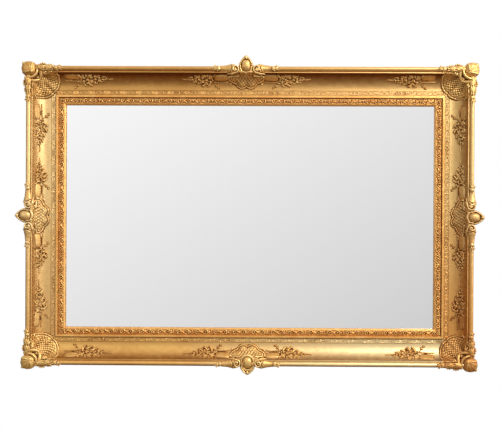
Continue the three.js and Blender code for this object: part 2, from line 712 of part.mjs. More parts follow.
function hangerRing() {
  const halfWidth = RING_INNER_WIDTH / 2 + RING_WIRE_RADIUS;
  const section = new THREE.Shape().absarc(0, 0, RING_WIRE_RADIUS, 0, 2 * Math.PI);
  const loop = new THREE.ExtrudeGeometry(section, {
    extrudePath: new RingPath(halfWidth, RING_STRAIGHT), steps: 16, curveSegments: 5,
  });
  const bar = new THREE.CylinderGeometry(RING_WIRE_RADIUS, RING_WIRE_RADIUS, 2 * halfWidth, 10)
    .rotateZ(Math.PI / 2);
  const knuckle = Array(3).fill(RING_WIRE_RADIUS * 1.02);
  const knuckles = [-1, 1].map((hand) => ball(hand * halfWidth, 0, 0, ...knuckle));
  return geometryOf(joined([loop, bar, ...knuckles]));
}

// A round-headed screw: its head outside the strap, its shank through it into the stile.
function hangerScrew() {
  const under = POCKET_DEPTH - SEAT_GAP - STRAP_THICKNESS - SEAT_GAP;
  const dome = arc([0, under], [SCREW_HEAD_RADIUS, SCREW_HEAD_HEIGHT], 270, 360, 4);
  const tip = under + SCREW_LENGTH;
  const profile = [
    ...dome,
    [SCREW_SHANK_RADIUS, under],
    [SCREW_SHANK_RADIUS, tip - 2 * SCREW_SHANK_RADIUS],
    [0, tip],
  ];
  return new THREE.LatheGeometry(profile.map(([radius, depth]) => new THREE.Vector2(radius, depth)), 16)
    .rotateX(Math.PI / 2);
}

for (const [name, hand] of Object.entries({ left: -1, right: 1 })) {
  const [x, y] = hangerPlace(hand);
  const parent = groupAt(x, y, 0);
  add(parent, 'hanger_strap_' + name, hangerStrap(), BRASS());
  add(parent, 'hanger_ring_' + name, hangerRing(), BRASS()).position.z = PIVOT_DEPTH;
  SCREW_DROPS.forEach((drop, index) => {
    add(parent, `hanger_screw_${name}_${index + 1}`, hangerScrew(), IRON()).position.y = -drop;
  });
}

// ---- Stand the drawing up: +Z up, the face towards -Y ------------------------------------------------

faceView.rotation.x = Math.PI / 2;
const overmantelMirror = new THREE.Group();
overmantelMirror.add(faceView);
export default overmantelMirror;
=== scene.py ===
"""The looks of a gilt overmantel mirror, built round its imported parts.

Sizes are in millimetres until a mesh is made. A side is drawn with x along it, y inward from its outer
edge (the inset) and z out from the wall (the height).
"""

import math

import bpy
import numpy as np
from mathutils import Matrix, Vector


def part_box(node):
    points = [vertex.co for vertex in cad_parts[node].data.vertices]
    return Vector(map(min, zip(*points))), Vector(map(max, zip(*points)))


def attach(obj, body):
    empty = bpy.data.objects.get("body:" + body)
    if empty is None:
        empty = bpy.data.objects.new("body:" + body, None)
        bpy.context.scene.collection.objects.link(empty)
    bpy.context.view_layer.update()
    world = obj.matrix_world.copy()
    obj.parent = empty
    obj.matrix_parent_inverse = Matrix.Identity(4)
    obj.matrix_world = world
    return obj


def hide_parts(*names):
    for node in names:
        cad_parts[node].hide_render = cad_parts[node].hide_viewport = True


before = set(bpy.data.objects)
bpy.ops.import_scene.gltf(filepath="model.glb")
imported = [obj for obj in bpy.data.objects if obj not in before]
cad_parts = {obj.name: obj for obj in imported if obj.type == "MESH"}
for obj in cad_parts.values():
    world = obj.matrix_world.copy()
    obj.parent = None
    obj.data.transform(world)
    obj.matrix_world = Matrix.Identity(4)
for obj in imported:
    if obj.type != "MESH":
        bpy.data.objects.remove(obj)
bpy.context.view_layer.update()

MM = 0.001
BODY = "frame"
HALF_WIDTH, HALF_HEIGHT = 750.0, 501.5
SIDES = {"top": 0, "right": -90, "bottom": 180, "left": 90}
CORNERS = {"tl": (-1, 1), "tr": (1, 1), "br": (1, -1), "bl": (-1, -1)}
CREST_RISE = {"top": 39.0, "right": 38.0, "bottom": 31.0, "left": 38.0}
CENTRE_SHIFT = {"top": -13.0, "right": 0.0, "bottom": 3.5, "left": 0.0}
MITRE_GAP = 0.15

# The section of the mouldings.
SEAT = 29.6
SIDE_WALL = 5.0
TORUS_RADIUS, TORUS_CENTRE = 8.0, 78.0
TORUS_CREST = TORUS_CENTRE + TORUS_RADIUS
FILLET_START, FILLET_END, FILLET_HEIGHT = 18.2, 21.5, 81.0
COVE_WIDTH, COVE_FALL, COVE_START = 48.0, 44.0, 80.0
COVE_ARC = 46.0
COVE_END, FRIEZE_START, FRIEZE_END, STRAP_END = 69.5, 74.0, 90.4, 87.8
FRIEZE_HEIGHT = COVE_START - COVE_FALL
SIGHT_START, SIGHT_END = 90.6, 123.3
SIGHT_FILLET_HEIGHT, SIGHT_CHAMFER = 44.0, 0.8
GROOVE_START, GROOVE_HEIGHT = 98.0, 37.7
BED_START, BED_END, BED_HEIGHT = 100.4, 118.4, 38.5
LIP_EDGE, LIP_RISE = 32.2, 41.0 - 32.2


# ---- Places ----


def unit(value):
    """A value held between 0 and 1."""
    return np.clip(value, 0, 1)


def side_place(side):
    """Turns (along, inset, height) on one side into the frame's own places, in metres."""
    half = HALF_HEIGHT if side in ("top", "bottom") else HALF_WIDTH
    turn = math.radians(SIDES[side])
    cos, sin = round(math.cos(turn)), round(math.sin(turn))

    def place(points):
        x, up = points[:, 0], half - points[:, 1]
        return MM * np.stack([x * cos - up * sin, -points[:, 2], x * sin + up * cos], 1)

    return place


def corner_place(corner):
    """Turns (inset from the side, inset from the top or foot, height) at one corner into metres."""
    across, up = CORNERS[corner]

    def place(points):
        x = across * (HALF_WIDTH - points[:, 0])
        z = up * (HALF_HEIGHT - points[:, 1])
        return MM * np.stack([x, -points[:, 2], z], 1)

    return place


def half_run(side):
    return HALF_WIDTH if side in ("top", "bottom") else HALF_HEIGHT


def cove_height(inset):
    across = unit((COVE_END - inset) / COVE_WIDTH)
    return COVE_START - COVE_FALL * np.sqrt(1 - across**2)


def face_height(inset):
    """Height of the mouldings' face from the torus to the frieze."""
    torus = TORUS_CENTRE + np.sqrt(np.clip(TORUS_RADIUS**2 - (inset - TORUS_RADIUS) ** 2, 0, None))
    inner = np.where(inset < FILLET_END, FILLET_HEIGHT, cove_height(inset))
    return np.where(inset < FILLET_START, torus, inner)


# ---- Meshes ----


def spread(values, pairs, count):
    """The mean of each vertex's neighbours."""
    starts = np.concatenate([pairs[:, 0], pairs[:, 1]])
    ends = np.concatenate([pairs[:, 1], pairs[:, 0]])
    number = np.maximum(np.bincount(starts, minlength=count), 1)
    sums = [np.bincount(starts, weights=values[ends, k], minlength=count) for k in range(3)]
    return np.stack(sums, 1) / number[:, None]


def vertex_normals(points, quads):
    across = np.cross(points[quads[:, 2]] - points[quads[:, 0]], points[quads[:, 3]] - points[quads[:, 1]])
    normals = np.zeros_like(points)
    for k in range(3):
        for corner in range(4):
            normals[:, k] += np.bincount(quads[:, corner], weights=across[:, k], minlength=len(points))
    return normals / np.maximum(np.linalg.norm(normals, axis=1), 1e-12)[:, None]


def relief_of(points, quads, rounds=8, scale=1.1 * MM):
    """0 in a hollow, 0.5 on a flat and 1 on a crest: how far each vertex stands out of its surroundings."""
    pairs = np.concatenate([quads[:, [k, (k + 1) % 4]] for k in range(4)])
    smooth = points
    for _ in range(rounds):
        smooth = spread(smooth, pairs, len(points))
    proud = ((points - smooth) * vertex_normals(points, quads)).sum(1)
    return unit(0.5 + proud / (2 * scale))


def volume_sign(points, quads):
    a, b, c, d = (points[quads[:, k]] for k in range(4))
    return np.sign((a * (np.cross(b, c) + np.cross(c, d))).sum())


def made(name, points, quads, material, caps=(), relief=None, sharp=None):
    """A closed mesh object that rides on the frame. Caps are the end faces of a swept bar."""
    if volume_sign(points, quads) < 0:
        quads = quads[:, ::-1]
        caps = [cap[::-1] for cap in caps]
    loops = np.concatenate([quads.ravel(), *[np.asarray(cap) for cap in caps]]).astype(np.int32)
    sizes = np.concatenate([np.full(len(quads), 4), [len(cap) for cap in caps]]).astype(np.int32)
    mesh = bpy.data.meshes.new(name)
    mesh.vertices.add(len(points))
    mesh.vertices.foreach_set("co", points.astype(np.float32).ravel())
    mesh.loops.add(len(loops))
    mesh.loops.foreach_set("vertex_index", loops)
    mesh.polygons.add(len(sizes))
    mesh.polygons.foreach_set("loop_start", np.concatenate([[0], np.cumsum(sizes)[:-1]]).astype(np.int32))
    mesh.update(calc_edges=True)
    mesh.shade_smooth()
    if sharp:
        mesh.set_sharp_from_angle(angle=math.radians(sharp))
    if relief is None:
        relief = relief_of(points, quads)
    mesh.attributes.new("relief", "FLOAT", "POINT").data.foreach_set("value", relief.astype(np.float32))
    mesh.materials.append(material)
    piece = bpy.data.objects.new(name, mesh)
    bpy.context.scene.collection.objects.link(piece)
    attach(piece, BODY)
    return piece


def bar_faces(steps, ring):
    """Quads and end caps of a bar swept through a number of equal rings."""
    row, column = np.meshgrid(np.arange(steps - 1), np.arange(ring), indexing="ij")
    here, beyond, after = row * ring, (row + 1) * ring, (column + 1) % ring
    quads = np.stack([here + column, beyond + column, beyond + after, here + after], -1)
    return quads.reshape(-1, 4), [np.arange(ring), (steps - 1) * ring + np.arange(ring)[::-1]]


def mitred_bar(name, side, section, material, spacing, shade=None, lift=None, sharp=None, wave=0.0):
    """A moulding of one closed section along a side, mitred at both ends.

    shade is the painted highlight (above 0.5) or painted shade (below 0.5) on each point of the section.
    lift(along, inset) raises the points instead."""
    section = np.asarray(section, float)
    steps = int(2 * half_run(side) / spacing) + 1
    share = np.linspace(-1, 1, steps)[:, None]
    along = share * (half_run(side) - section[None, :, 0] - MITRE_GAP)
    inset = np.broadcast_to(section[None, :, 0], along.shape)
    height = section[None, :, 1] + wave * slow_wave(along, inset)
    if lift:
        height = height + lift(along, inset)
    if shade is not None:
        shade = np.tile(shade, steps)
    points = side_place(side)(np.stack([along, inset, height], -1).reshape(-1, 3))
    quads, caps = bar_faces(steps, len(section))
    return made(name, points, quads, material, caps, shade, sharp)


def slow_wave(along, inset):
    """The unevenness of a surface worked by hand, from -1 to 1."""
    return 0.5 * (np.sin(along / 61.0 + inset / 9.0) + np.sin(along / 23.7 + 1.7))


# ---- Closed forms from a field ----


def net(field, low, step):
    """Vertices and quads of the closed surface where a field crosses zero, with one vertex in each cell that
    it crosses."""
    inside = field > 0
    cells = np.array(field.shape) - 1
    total = int(cells.prod())
    sums, hits, quads = np.zeros((3, total)), np.zeros(total), []
    for axis in range(3):
        first, second = (axis + 1) % 3, (axis + 2) % 3
        low_cut, high_cut = [slice(None)] * 3, [slice(None)] * 3
        low_cut[axis], high_cut[axis] = slice(None, -1), slice(1, None)
        crossed = inside[tuple(low_cut)] != inside[tuple(high_cut)]
        corner = np.argwhere(crossed)
        below, above = field[tuple(low_cut)][crossed], field[tuple(high_cut)][crossed]
        spot = corner.astype(float)
        spot[:, axis] += below / (below - above)
        ring = []
        for u, v in ((0, 0), (-1, 0), (-1, -1), (0, -1)):
            cell = corner.copy()
            cell[:, first] += u
            cell[:, second] += v
            flat = np.ravel_multi_index(cell.T, cells)
            ring.append(flat)
            hits += np.bincount(flat, minlength=total)
            for k in range(3):
                sums[k] += np.bincount(flat, weights=spot[:, k], minlength=total)
        ring = np.stack(ring, 1)
        quads.append(np.where((below > 0)[:, None], ring, ring[:, ::-1]))
    used = hits > 0
    index = np.cumsum(used) - 1
    points = (sums[:, used] / hits[used]).T * np.asarray(step) + np.asarray(low)
    return points, index[np.concatenate(quads)]


def soft_max(a, b, blend):
    if not blend:
        return np.maximum(a, b)
    near = np.clip(blend - np.abs(a - b), 0, None) / blend
    return np.maximum(a, b) + near**2 * blend / 4


OUTSIDE = -9.0


class Mould:
    """A block of points, each with a field above zero inside the casting, that forms are pressed into."""

    def __init__(self, low, high, step):
        self.low, self.step = np.asarray(low, float), np.asarray(step, float)
        self.axes = [np.arange(l, h + s, s) for l, h, s in zip(low, high, step)]
        self.field = np.full([len(a) for a in self.axes], OUTSIDE)

    def window(self, low, high):
        cuts = []
        for axis, l, h in zip(self.axes, low, high):
            cuts.append(slice(max(0, np.searchsorted(axis, l)), np.searchsorted(axis, h)))
        grids = np.meshgrid(*[axis[cut] for axis, cut in zip(self.axes, cuts)], indexing="ij", sparse=True)
        return tuple(cuts), grids

    def plan(self):
        return np.meshgrid(self.axes[0], self.axes[1], indexing="ij")

    def add(self, cuts, value, blend=0.0):
        self.field[cuts] = soft_max(self.field[cuts], value, blend)

    def sheet(self, top, bottom, edge=None, blend=0.0):
        """Fills between two heights over the plan. edge is above zero inside the outline."""
        z = self.axes[2][None, None, :]
        value = np.minimum(0.75 * (top[:, :, None] - z), z - bottom[:, :, None])
        if edge is not None:
            value = np.minimum(value, edge[:, :, None])
        self.add(slice(None), value, blend)

    def ball(self, centre, radii, blend=0.6, power=2.0, carve=False):
        centre, radii = np.asarray(centre, float), np.asarray(radii, float)
        margin = radii + 4
        cuts, grids = self.window(centre - margin, centre + margin)
        far = sum((np.abs(g - c) / r) ** power for g, c, r in zip(grids, centre, radii)) ** (1 / power)
        value = (1 - far) * radii.min()
        if carve:
            self.field[cuts] = np.minimum(self.field[cuts], -value)
        else:
            self.add(cuts, value, blend)

    def tube(self, path, radii, blend=0.6, flat=1.0):
        """A round bar along a path, with a radius at each of its points. flat squashes its height."""
        path = np.asarray(path, float)
        radii = np.broadcast_to(np.asarray(radii, float), len(path))
        for a, b, ra, rb in zip(path[:-1], path[1:], radii[:-1], radii[1:]):
            margin = max(ra, rb) + 3
            cuts, grids = self.window(np.minimum(a, b) - margin, np.maximum(a, b) + margin)
            run = b - a
            offset = [g - c for g, c in zip(grids, a)]
            t = unit(sum(o * r for o, r in zip(offset, run)) / max(run @ run, 1e-9))
            gap = [o - r * t for o, r in zip(offset, run)]
            gap[2] = gap[2] / flat
            self.add(cuts, ra + (rb - ra) * t - np.sqrt(sum(g * g for g in gap)), blend)

    def surface(self):
        for axis in range(3):
            for end in (0, -1):
                cut = [slice(None)] * 3
                cut[axis] = end
                self.field[tuple(cut)] = OUTSIDE
        return net(self.field, self.low, self.step)


# ---- Relief motifs, each a height over a plan, below zero outside it ----


def bent(start, end, bow, count=14):
    """Points along a line that bows sideways by a share of its length."""
    start, end = np.asarray(start, float), np.asarray(end, float)
    share = np.linspace(0, 1, count)[:, None]
    side = np.array([-(end - start)[1], (end - start)[0]])
    return start + (end - start) * share + side * bow * np.sin(math.pi * share)


class Plan:
    """Relief over a flat grid, to which motifs are added."""

    def __init__(self, x, y, floor=-4.0):
        self.x, self.y = x, y
        self.height = np.full(x.shape, floor)

    def cut(self, low, high):
        rows = np.flatnonzero((self.x[:, 0] >= low[0]) & (self.x[:, 0] <= high[0]))
        columns = np.flatnonzero((self.y[0] >= low[1]) & (self.y[0] <= high[1]))
        if not len(rows) or not len(columns):
            return None
        return slice(rows[0], rows[-1] + 1), slice(columns[0], columns[-1] + 1)

    def put(self, cuts, value, blend=0.8):
        self.height[cuts] = soft_max(self.height[cuts], value, blend)

    def nearest(self, path, margin):
        """For the points near a path: the cut, the share along it and the signed distance off it."""
        path = np.asarray(path, float)
        cuts = self.cut(path.min(0) - margin, path.max(0) + margin)
        if cuts is None:
            return None
        x, y = self.x[cuts], self.y[cuts]
        best, share, side = np.full(x.shape, 1e9), np.zeros(x.shape), np.ones(x.shape)
        for k, (a, b) in enumerate(zip(path[:-1], path[1:])):
            run = b - a
            t = unit(((x - a[0]) * run[0] + (y - a[1]) * run[1]) / max(run @ run, 1e-9))
            gx, gy = x - a[0] - run[0] * t, y - a[1] - run[1] * t
            gap = np.hypot(gx, gy)
            closer = gap < best
            best = np.where(closer, gap, best)
            share = np.where(closer, (k + t) / (len(path) - 1), share)
            side = np.where(closer, np.sign(run[0] * gy - run[1] * gx), side)
        return cuts, share, best * side

    def ridge(self, path, width, height, blend=0.8):
        """A half-round rib. width and height are at the start and the end."""
        width, height = np.broadcast_to(width, 2), np.broadcast_to(height, 2)
        found = self.nearest(path, max(width) + 3)
        if found is None:
            return
        cuts, share, off = found
        half = width[0] + (width[1] - width[0]) * share
        tall = height[0] + (height[1] - height[0]) * share
        across = np.abs(off) / half
        inside = tall * np.sqrt(unit(1 - across**2))
        self.put(cuts, np.where(across < 1, inside, -1.6 * (np.abs(off) - half)), blend)

    def leaf(self, start, end, bow, width, height, teeth=4, blend=0.7):
        """An acanthus leaf: a bowed blade with a toothed edge, a channel down its middle and veins."""
        found = self.nearest(bent(start, end, bow), width + 3)
        if found is None:
            return
        cuts, share, off = found
        swell = np.sin(math.pi * unit(share * 0.93 + 0.05) ** 0.75) ** 0.7
        notch = 1 - 0.2 * np.abs(np.sin(math.pi * teeth * share))
        half = np.maximum(width * swell * notch, 0.35)
        across = np.abs(off) / half
        blade = height * (1 - 0.35 * share) * unit(1 - across**3) ** 0.5
        channel = 0.32 * height * np.exp(-((off / (0.22 * width + 0.3)) ** 2)) * (1 - share)
        veins = 0.13 * height * np.cos(2 * math.pi * (teeth * share - 0.7 * across)) * unit(across)
        value = np.where(across < 1, blade - channel + veins, -1.8 * (np.abs(off) - half))
        self.put(cuts, value, blend)

    def dome(self, centre, radii, height, turn=0.0, power=2.0, blend=0.6):
        reach = max(radii) + 3
        cuts = self.cut((centre[0] - reach, centre[1] - reach), (centre[0] + reach, centre[1] + reach))
        if cuts is None:
            return
        cos, sin = math.cos(math.radians(turn)), math.sin(math.radians(turn))
        dx, dy = self.x[cuts] - centre[0], self.y[cuts] - centre[1]
        u, v = (dx * cos + dy * sin) / radii[0], (dy * cos - dx * sin) / radii[1]
        far = (np.abs(u) ** power + np.abs(v) ** power) ** (1 / power)
        inside = height * unit(1 - far**power) ** 0.5
        self.put(cuts, np.where(far < 1, inside, -1.6 * (far - 1) * min(radii)), blend)

    def flower(self, centre, radius, height, petals=5, turn=0.0):
        for k in range(petals):
            angle = math.radians(turn) + 2 * math.pi * k / petals
            spot = (centre[0] + 0.56 * radius * math.cos(angle), centre[1] + 0.56 * radius * math.sin(angle))
            self.dome(spot, (0.5 * radius, 0.34 * radius), height * 0.85, math.degrees(angle), blend=0.2)
        self.dome(centre, (0.27 * radius, 0.27 * radius), height * 1.15, blend=0.1)


# ---- Materials ----


class Nodes:
    """A node tree, with short calls to add nodes and join them."""

    def __init__(self, owner, output):
        owner.use_nodes = True
        self.tree = owner.node_tree
        self.tree.nodes.clear()
        self.output = self.tree.nodes.new("ShaderNode" + output)

    def put(self, socket, value):
        if isinstance(value, bpy.types.NodeSocket):
            self.tree.links.new(value, socket)
        else:
            socket.default_value = value

    def add(self, kind, inputs=(), out=0, **settings):
        node = self.tree.nodes.new("ShaderNode" + kind)
        for key, value in settings.items():
            setattr(node, key, value)
        for key, value in dict(inputs).items():
            self.put(node.inputs[key], value)
        return node.outputs[out]

    def span(self, value, low, high, to_low=0.0, to_high=1.0):
        inputs = {"Value": value, "From Min": low, "From Max": high, "To Min": to_low, "To Max": to_high}
        return self.add("MapRange", inputs)

    def math(self, operation, a, b=0.0):
        return self.add("Math", {0: a, 1: b}, operation=operation)

    def mix_shaders(self, factor, first, second):
        return self.add("MixShader", {0: factor, 1: first, 2: second})

    def show(self, shader):
        self.put(self.output.inputs["Surface"], shader)


class Paint(Nodes):
    """The nodes of a material, round one main shader."""

    def __init__(self, name):
        self.material = bpy.data.materials.new(name)
        super().__init__(self.material, "OutputMaterial")
        self.shader = self.tree.nodes.new("ShaderNodeBsdfPrincipled")
        self.show(self.shader.outputs[0])

    def along(self, axis):
        return self.add("SeparateXYZ", {0: self.add("TexCoord", out="Object")}, out=axis)

    def place(self, scale=(1, 1, 1)):
        return self.add("Mapping", {"Vector": self.add("TexCoord", out="Object"), "Scale": scale})

    def noise(self, scale, detail=3.0, rough=0.55, vector=None):
        inputs = {"Vector": vector or self.place(), "Scale": scale, "Detail": detail, "Roughness": rough}
        return self.add("TexNoise", inputs, out="Fac")

    def mix(self, factor, a, b):
        node = self.tree.nodes.new("ShaderNodeMix")
        node.data_type = "RGBA"
        for key, kind, value in (("Factor", "VALUE", factor), ("A", "RGBA", a), ("B", "RGBA", b)):
            self.put(next(s for s in node.inputs if s.name == key and s.type == kind), value)
        return next(s for s in node.outputs if s.type == "RGBA")

    def bump(self, *layers):
        """Layers of (height, distance in metres), each on top of the one before."""
        normal = None
        for height, distance in layers:
            inputs = {"Height": height, "Distance": distance}
            if normal is not None:
                inputs["Normal"] = normal
            normal = self.add("Bump", inputs)
        self.put(self.shader.inputs["Normal"], normal)

    def finish(self, **inputs):
        for key, value in inputs.items():
            self.put(self.shader.inputs[key.replace("_", " ")], value)
        return self.material


def colour(*display):
    """A colour from its 0 to 255 display values."""
    shares = [c / 255 for c in display]
    return (*(c / 12.92 if c <= 0.04045 else ((c + 0.055) / 1.055) ** 2.4 for c in shares), 1.0)


def gilt(name, leaf, warm, patina_and_shade, rubbed_and_highlight, drift=None, roughness=0.42, metallic=0.72, grain=0.7, mottle=1.0):
    """Leaf over red clay. Hollows are darkened, partly as toned patina and partly as painted shade; crests
    are lightened, partly burnish and partly painted highlight, and a few are worn through to the clay.

    drift is (axis, where it starts, where it is full, colour) of a slow change of colour along the frame."""
    n = Paint("leaf_on_" + name)
    leaf, warm, patina_and_shade, rubbed_and_highlight = (colour(*c) for c in (leaf, warm, patina_and_shade, rubbed_and_highlight))
    relief = n.add("Attribute", attribute_name="relief", out="Fac")
    broad, middle, fine = n.noise(7.0), n.noise(55.0, 4.0), n.noise(420.0, 4.0, 0.65)
    base = n.mix(n.span(broad, 0.35, 0.65), leaf, warm)
    if drift:
        axis, start, full, other = drift
        base = n.mix(n.span(n.along(axis), start, full), base, colour(*other))
    base = n.mix(n.span(middle, 0.5, 0.75, 0, 0.35 * mottle), base, rubbed_and_highlight)
    uneven = n.math("ADD", relief, n.span(middle, 0.3, 0.7, -0.07 * mottle, 0.07 * mottle))
    # Hollows take the darker colour: partly toned patina, partly painted shade.
    hollow = n.span(uneven, 0.48, 0.2)
    base = n.mix(hollow, base, patina_and_shade)
    # Crests take the paler colour: painted highlight over burnish.
    crest = n.span(uneven, 0.6, 0.95)
    base = n.mix(n.math("MULTIPLY", crest, 0.6), base, rubbed_and_highlight)
    worn = n.math("MULTIPLY", n.span(relief, 0.78, 0.95), n.span(middle, 0.62, 0.7))
    base = n.mix(n.math("MULTIPLY", worn, 0.22), base, RED_CLAY)
    matt = n.span(hollow, 0, 1, roughness, roughness + 0.22)
    rough = n.math("ADD", matt, n.span(middle, 0.3, 0.7, -0.05, 0.08))
    n.bump((middle, 0.0005 * grain), (fine, 0.00022 * grain))
    return n.finish(Base_Color=base, Roughness=rough, Metallic=metallic)


def ochre():
    """Yellow ochre size on the outer flanks."""
    n = Paint("ochre_flank")
    patch, fine = n.noise(14.0, 5.0), n.noise(300.0, 4.0)
    base = n.mix(n.span(patch, 0.35, 0.7), colour(176, 131, 66), colour(139, 92, 42))
    base = n.mix(n.span(fine, 0.55, 0.8, 0, 0.5), base, colour(98, 62, 30))
    n.bump((patch, 0.0006), (fine, 0.0003))
    return n.finish(Base_Color=base, Roughness=0.62, Metallic=0.25)


def timber(name, pale, dark, along, scale=1.0):
    """Sawn wood with its grain along one axis."""
    n = Paint(name)

    def grain(across, lengthwise, detail, rough):
        stretch = [across * scale] * 3
        stretch[along] = lengthwise * scale
        return n.noise(1.0, detail, rough, n.place(tuple(stretch)))

    streak, pores = grain(26.0, 1.6, 6.0, 0.6), grain(220.0, 5.0, 3.0, 0.7)
    rings = n.math("SINE", n.math("MULTIPLY", streak, 34.0))
    base = n.mix(n.span(rings, -1, 1, 0, 0.55), pale, dark)
    base = n.mix(n.span(pores, 0.5, 0.75, 0, 0.6), base, tuple(0.55 * c for c in dark[:3]) + (1.0,))
    grime = n.noise(4.0, 5.0)
    base = n.mix(n.span(grime, 0.52, 0.75, 0, 0.5), base, colour(72, 54, 38))
    n.bump((rings, 0.0002), (pores, 0.0004))
    return n.finish(Base_Color=base, Roughness=n.span(pores, 0.3, 0.7, 0.62, 0.85))


def metal(name, bright, dull, roughness):
    """Tarnished metal with fine scratches."""
    n = Paint(name)
    tarnish, scratches = n.noise(60.0, 5.0), n.noise(220.0, 2.0, 0.5, n.place((1, 1, 6)))
    base = n.mix(n.span(tarnish, 0.4, 0.7), bright, dull)
    rough = n.span(tarnish, 0.3, 0.7, roughness - 0.06, roughness + 0.14)
    n.bump((tarnish, 0.0001), (scratches, 0.00005))
    return n.finish(Base_Color=base, Roughness=rough, Metallic=1.0)


def looking_glass():
    """A silvered plate, a little dimmed, with faint specks in the silver towards its edge."""
    n = Paint("silvered_plate")
    gaps = []
    for axis, half in (("X", HALF_WIDTH), ("Z", HALF_HEIGHT)):
        gaps.append(n.math("SUBTRACT", (half - SIGHT_END) * MM, n.math("ABSOLUTE", n.along(axis))))
    near = n.span(n.math("MINIMUM", *gaps), SPECK_REACH, 0.0)
    specks = n.math("MULTIPLY", n.span(n.noise(160.0, 4.0, 0.7), 0.62, 0.72), near)
    base = n.mix(n.math("MULTIPLY", specks, 0.5), SILVER, TARNISH)
    return n.finish(Base_Color=base, Roughness=n.span(specks, 0.0, 1.0, 0.012, 0.3), Metallic=1.0)


RED_CLAY = colour(150, 78, 40)
PINE_PALE, PINE_DARK = colour(176, 138, 92), colour(126, 86, 50)
SILVER, TARNISH = (0.93, 0.925, 0.925, 1.0), (0.45, 0.42, 0.38, 1.0)
SPECK_REACH = 0.035
MOULDED = {"roughness": 0.42, "metallic": 0.85, "grain": 1.0, "mottle": 0.4}
BRIGHT_CAST = {"roughness": 0.4, "metallic": 0.74}

# Each side's leaf has the colour that side reads with in the photograph, so these are lit and shaded copies
# of one gilding: the top rail is darkened as painted shade, and the stiles, the left one most, are paler and
# creamier as a painted highlight.
LIT_SIDE_GOLD = {
    "top": gilt("top_rail", (206, 156, 86), (198, 146, 78), (122, 66, 16), (232, 196, 128),
                ("X", -0.2, 0.5, (214, 170, 106)), **MOULDED),
    "right": gilt("right_stile", (210, 174, 114), (204, 166, 104), (130, 76, 26), (224, 192, 130),
                  ("Z", 0.1, -0.4, (212, 150, 78)), **MOULDED),
    "bottom": gilt("bottom_rail", (222, 174, 98), (214, 162, 90), (122, 66, 16), (238, 204, 136),
                   ("X", -0.25, 0.4, (232, 206, 152)), **MOULDED),
    "left": gilt("left_stile", (232, 198, 138), (226, 188, 124), (136, 80, 26), (244, 218, 160),
                 ("Z", 0.0, -0.4, (216, 168, 100)), **MOULDED),
}
# The castings are lit and shaded copies too: the left stile's are paler as a painted highlight, the right
# stile's darker as painted shade.
RAIL_CARVED = gilt("ornament", (222, 176, 104), (208, 154, 84), (104, 56, 14), (250, 218, 148), **BRIGHT_CAST)
RIGHT_CARVED = gilt("right_ornament", (208, 168, 104), (200, 154, 90), (104, 60, 20), (228, 194, 132),
                    ("Z", 0.1, -0.4, (192, 130, 66)))
LEFT_CARVED = gilt("left_ornament", (224, 184, 116), (212, 164, 96), (104, 60, 20), (250, 224, 168))
LIT_SIDE_CARVED = {"top": RAIL_CARVED, "right": RIGHT_CARVED, "bottom": RAIL_CARVED, "left": LEFT_CARVED}
CORNER_GOLD = gilt("corners", (214, 168, 96), (196, 142, 74), (98, 52, 14), (250, 216, 144), **BRIGHT_CAST)
BROWN_GOLD = gilt("brown_corner", (190, 134, 70), (172, 112, 52), (88, 44, 10), (230, 180, 108))
CORNER_CARVED = {"tl": CORNER_GOLD, "tr": CORNER_GOLD, "br": BROWN_GOLD, "bl": CORNER_GOLD}
SIGHT_GOLD = gilt("sight", (234, 176, 96), (224, 158, 80), (124, 66, 16), (255, 216, 142),
                  roughness=0.4, metallic=0.75, grain=0.6)
FLANK = ochre()


# ---- Mouldings ----


# The painted shade (below 0.5) or painted highlight (above 0.5) on the lines of each side's mouldings, as
# they read in the photograph: a line that faces away from the light is darker. 0.5 is plain leaf.
COVE_SHADE = {"top": 0.1, "right": 0.34, "bottom": 0.26, "left": 0.34}
QUIRK_SHADE = {"top": 0.26, "right": 0.26, "bottom": 0.48, "left": 0.26}
OUTER_LINE_SHADE = {"top": 0.42, "right": 0.42, "bottom": 0.04, "left": 0.04}
INNER_LINE_SHADE = {"top": 0.08, "right": 0.14, "bottom": 0.4, "left": 0.4}
# How much painted shade darkens the foot of the torus below its crest.
TORUS_FOOT_SHADE = {"top": 0.15, "right": 0.0, "bottom": 0.75, "left": 0.6}
QUIRK = ((15.9, 79.6), (16.5, 78.9), (17.4, 78.9), (18.0, 79.6))
FLANK_TOP, FLANK_DEPTH, FLANK_TURN = 70.0, 6.0, 0.2


def arc(centre, radii, start, end, count):
    angle = np.radians(np.linspace(start, end, count))
    return np.stack([centre[0] + radii[0] * np.cos(angle), centre[1] + radii[1] * np.sin(angle)], 1)


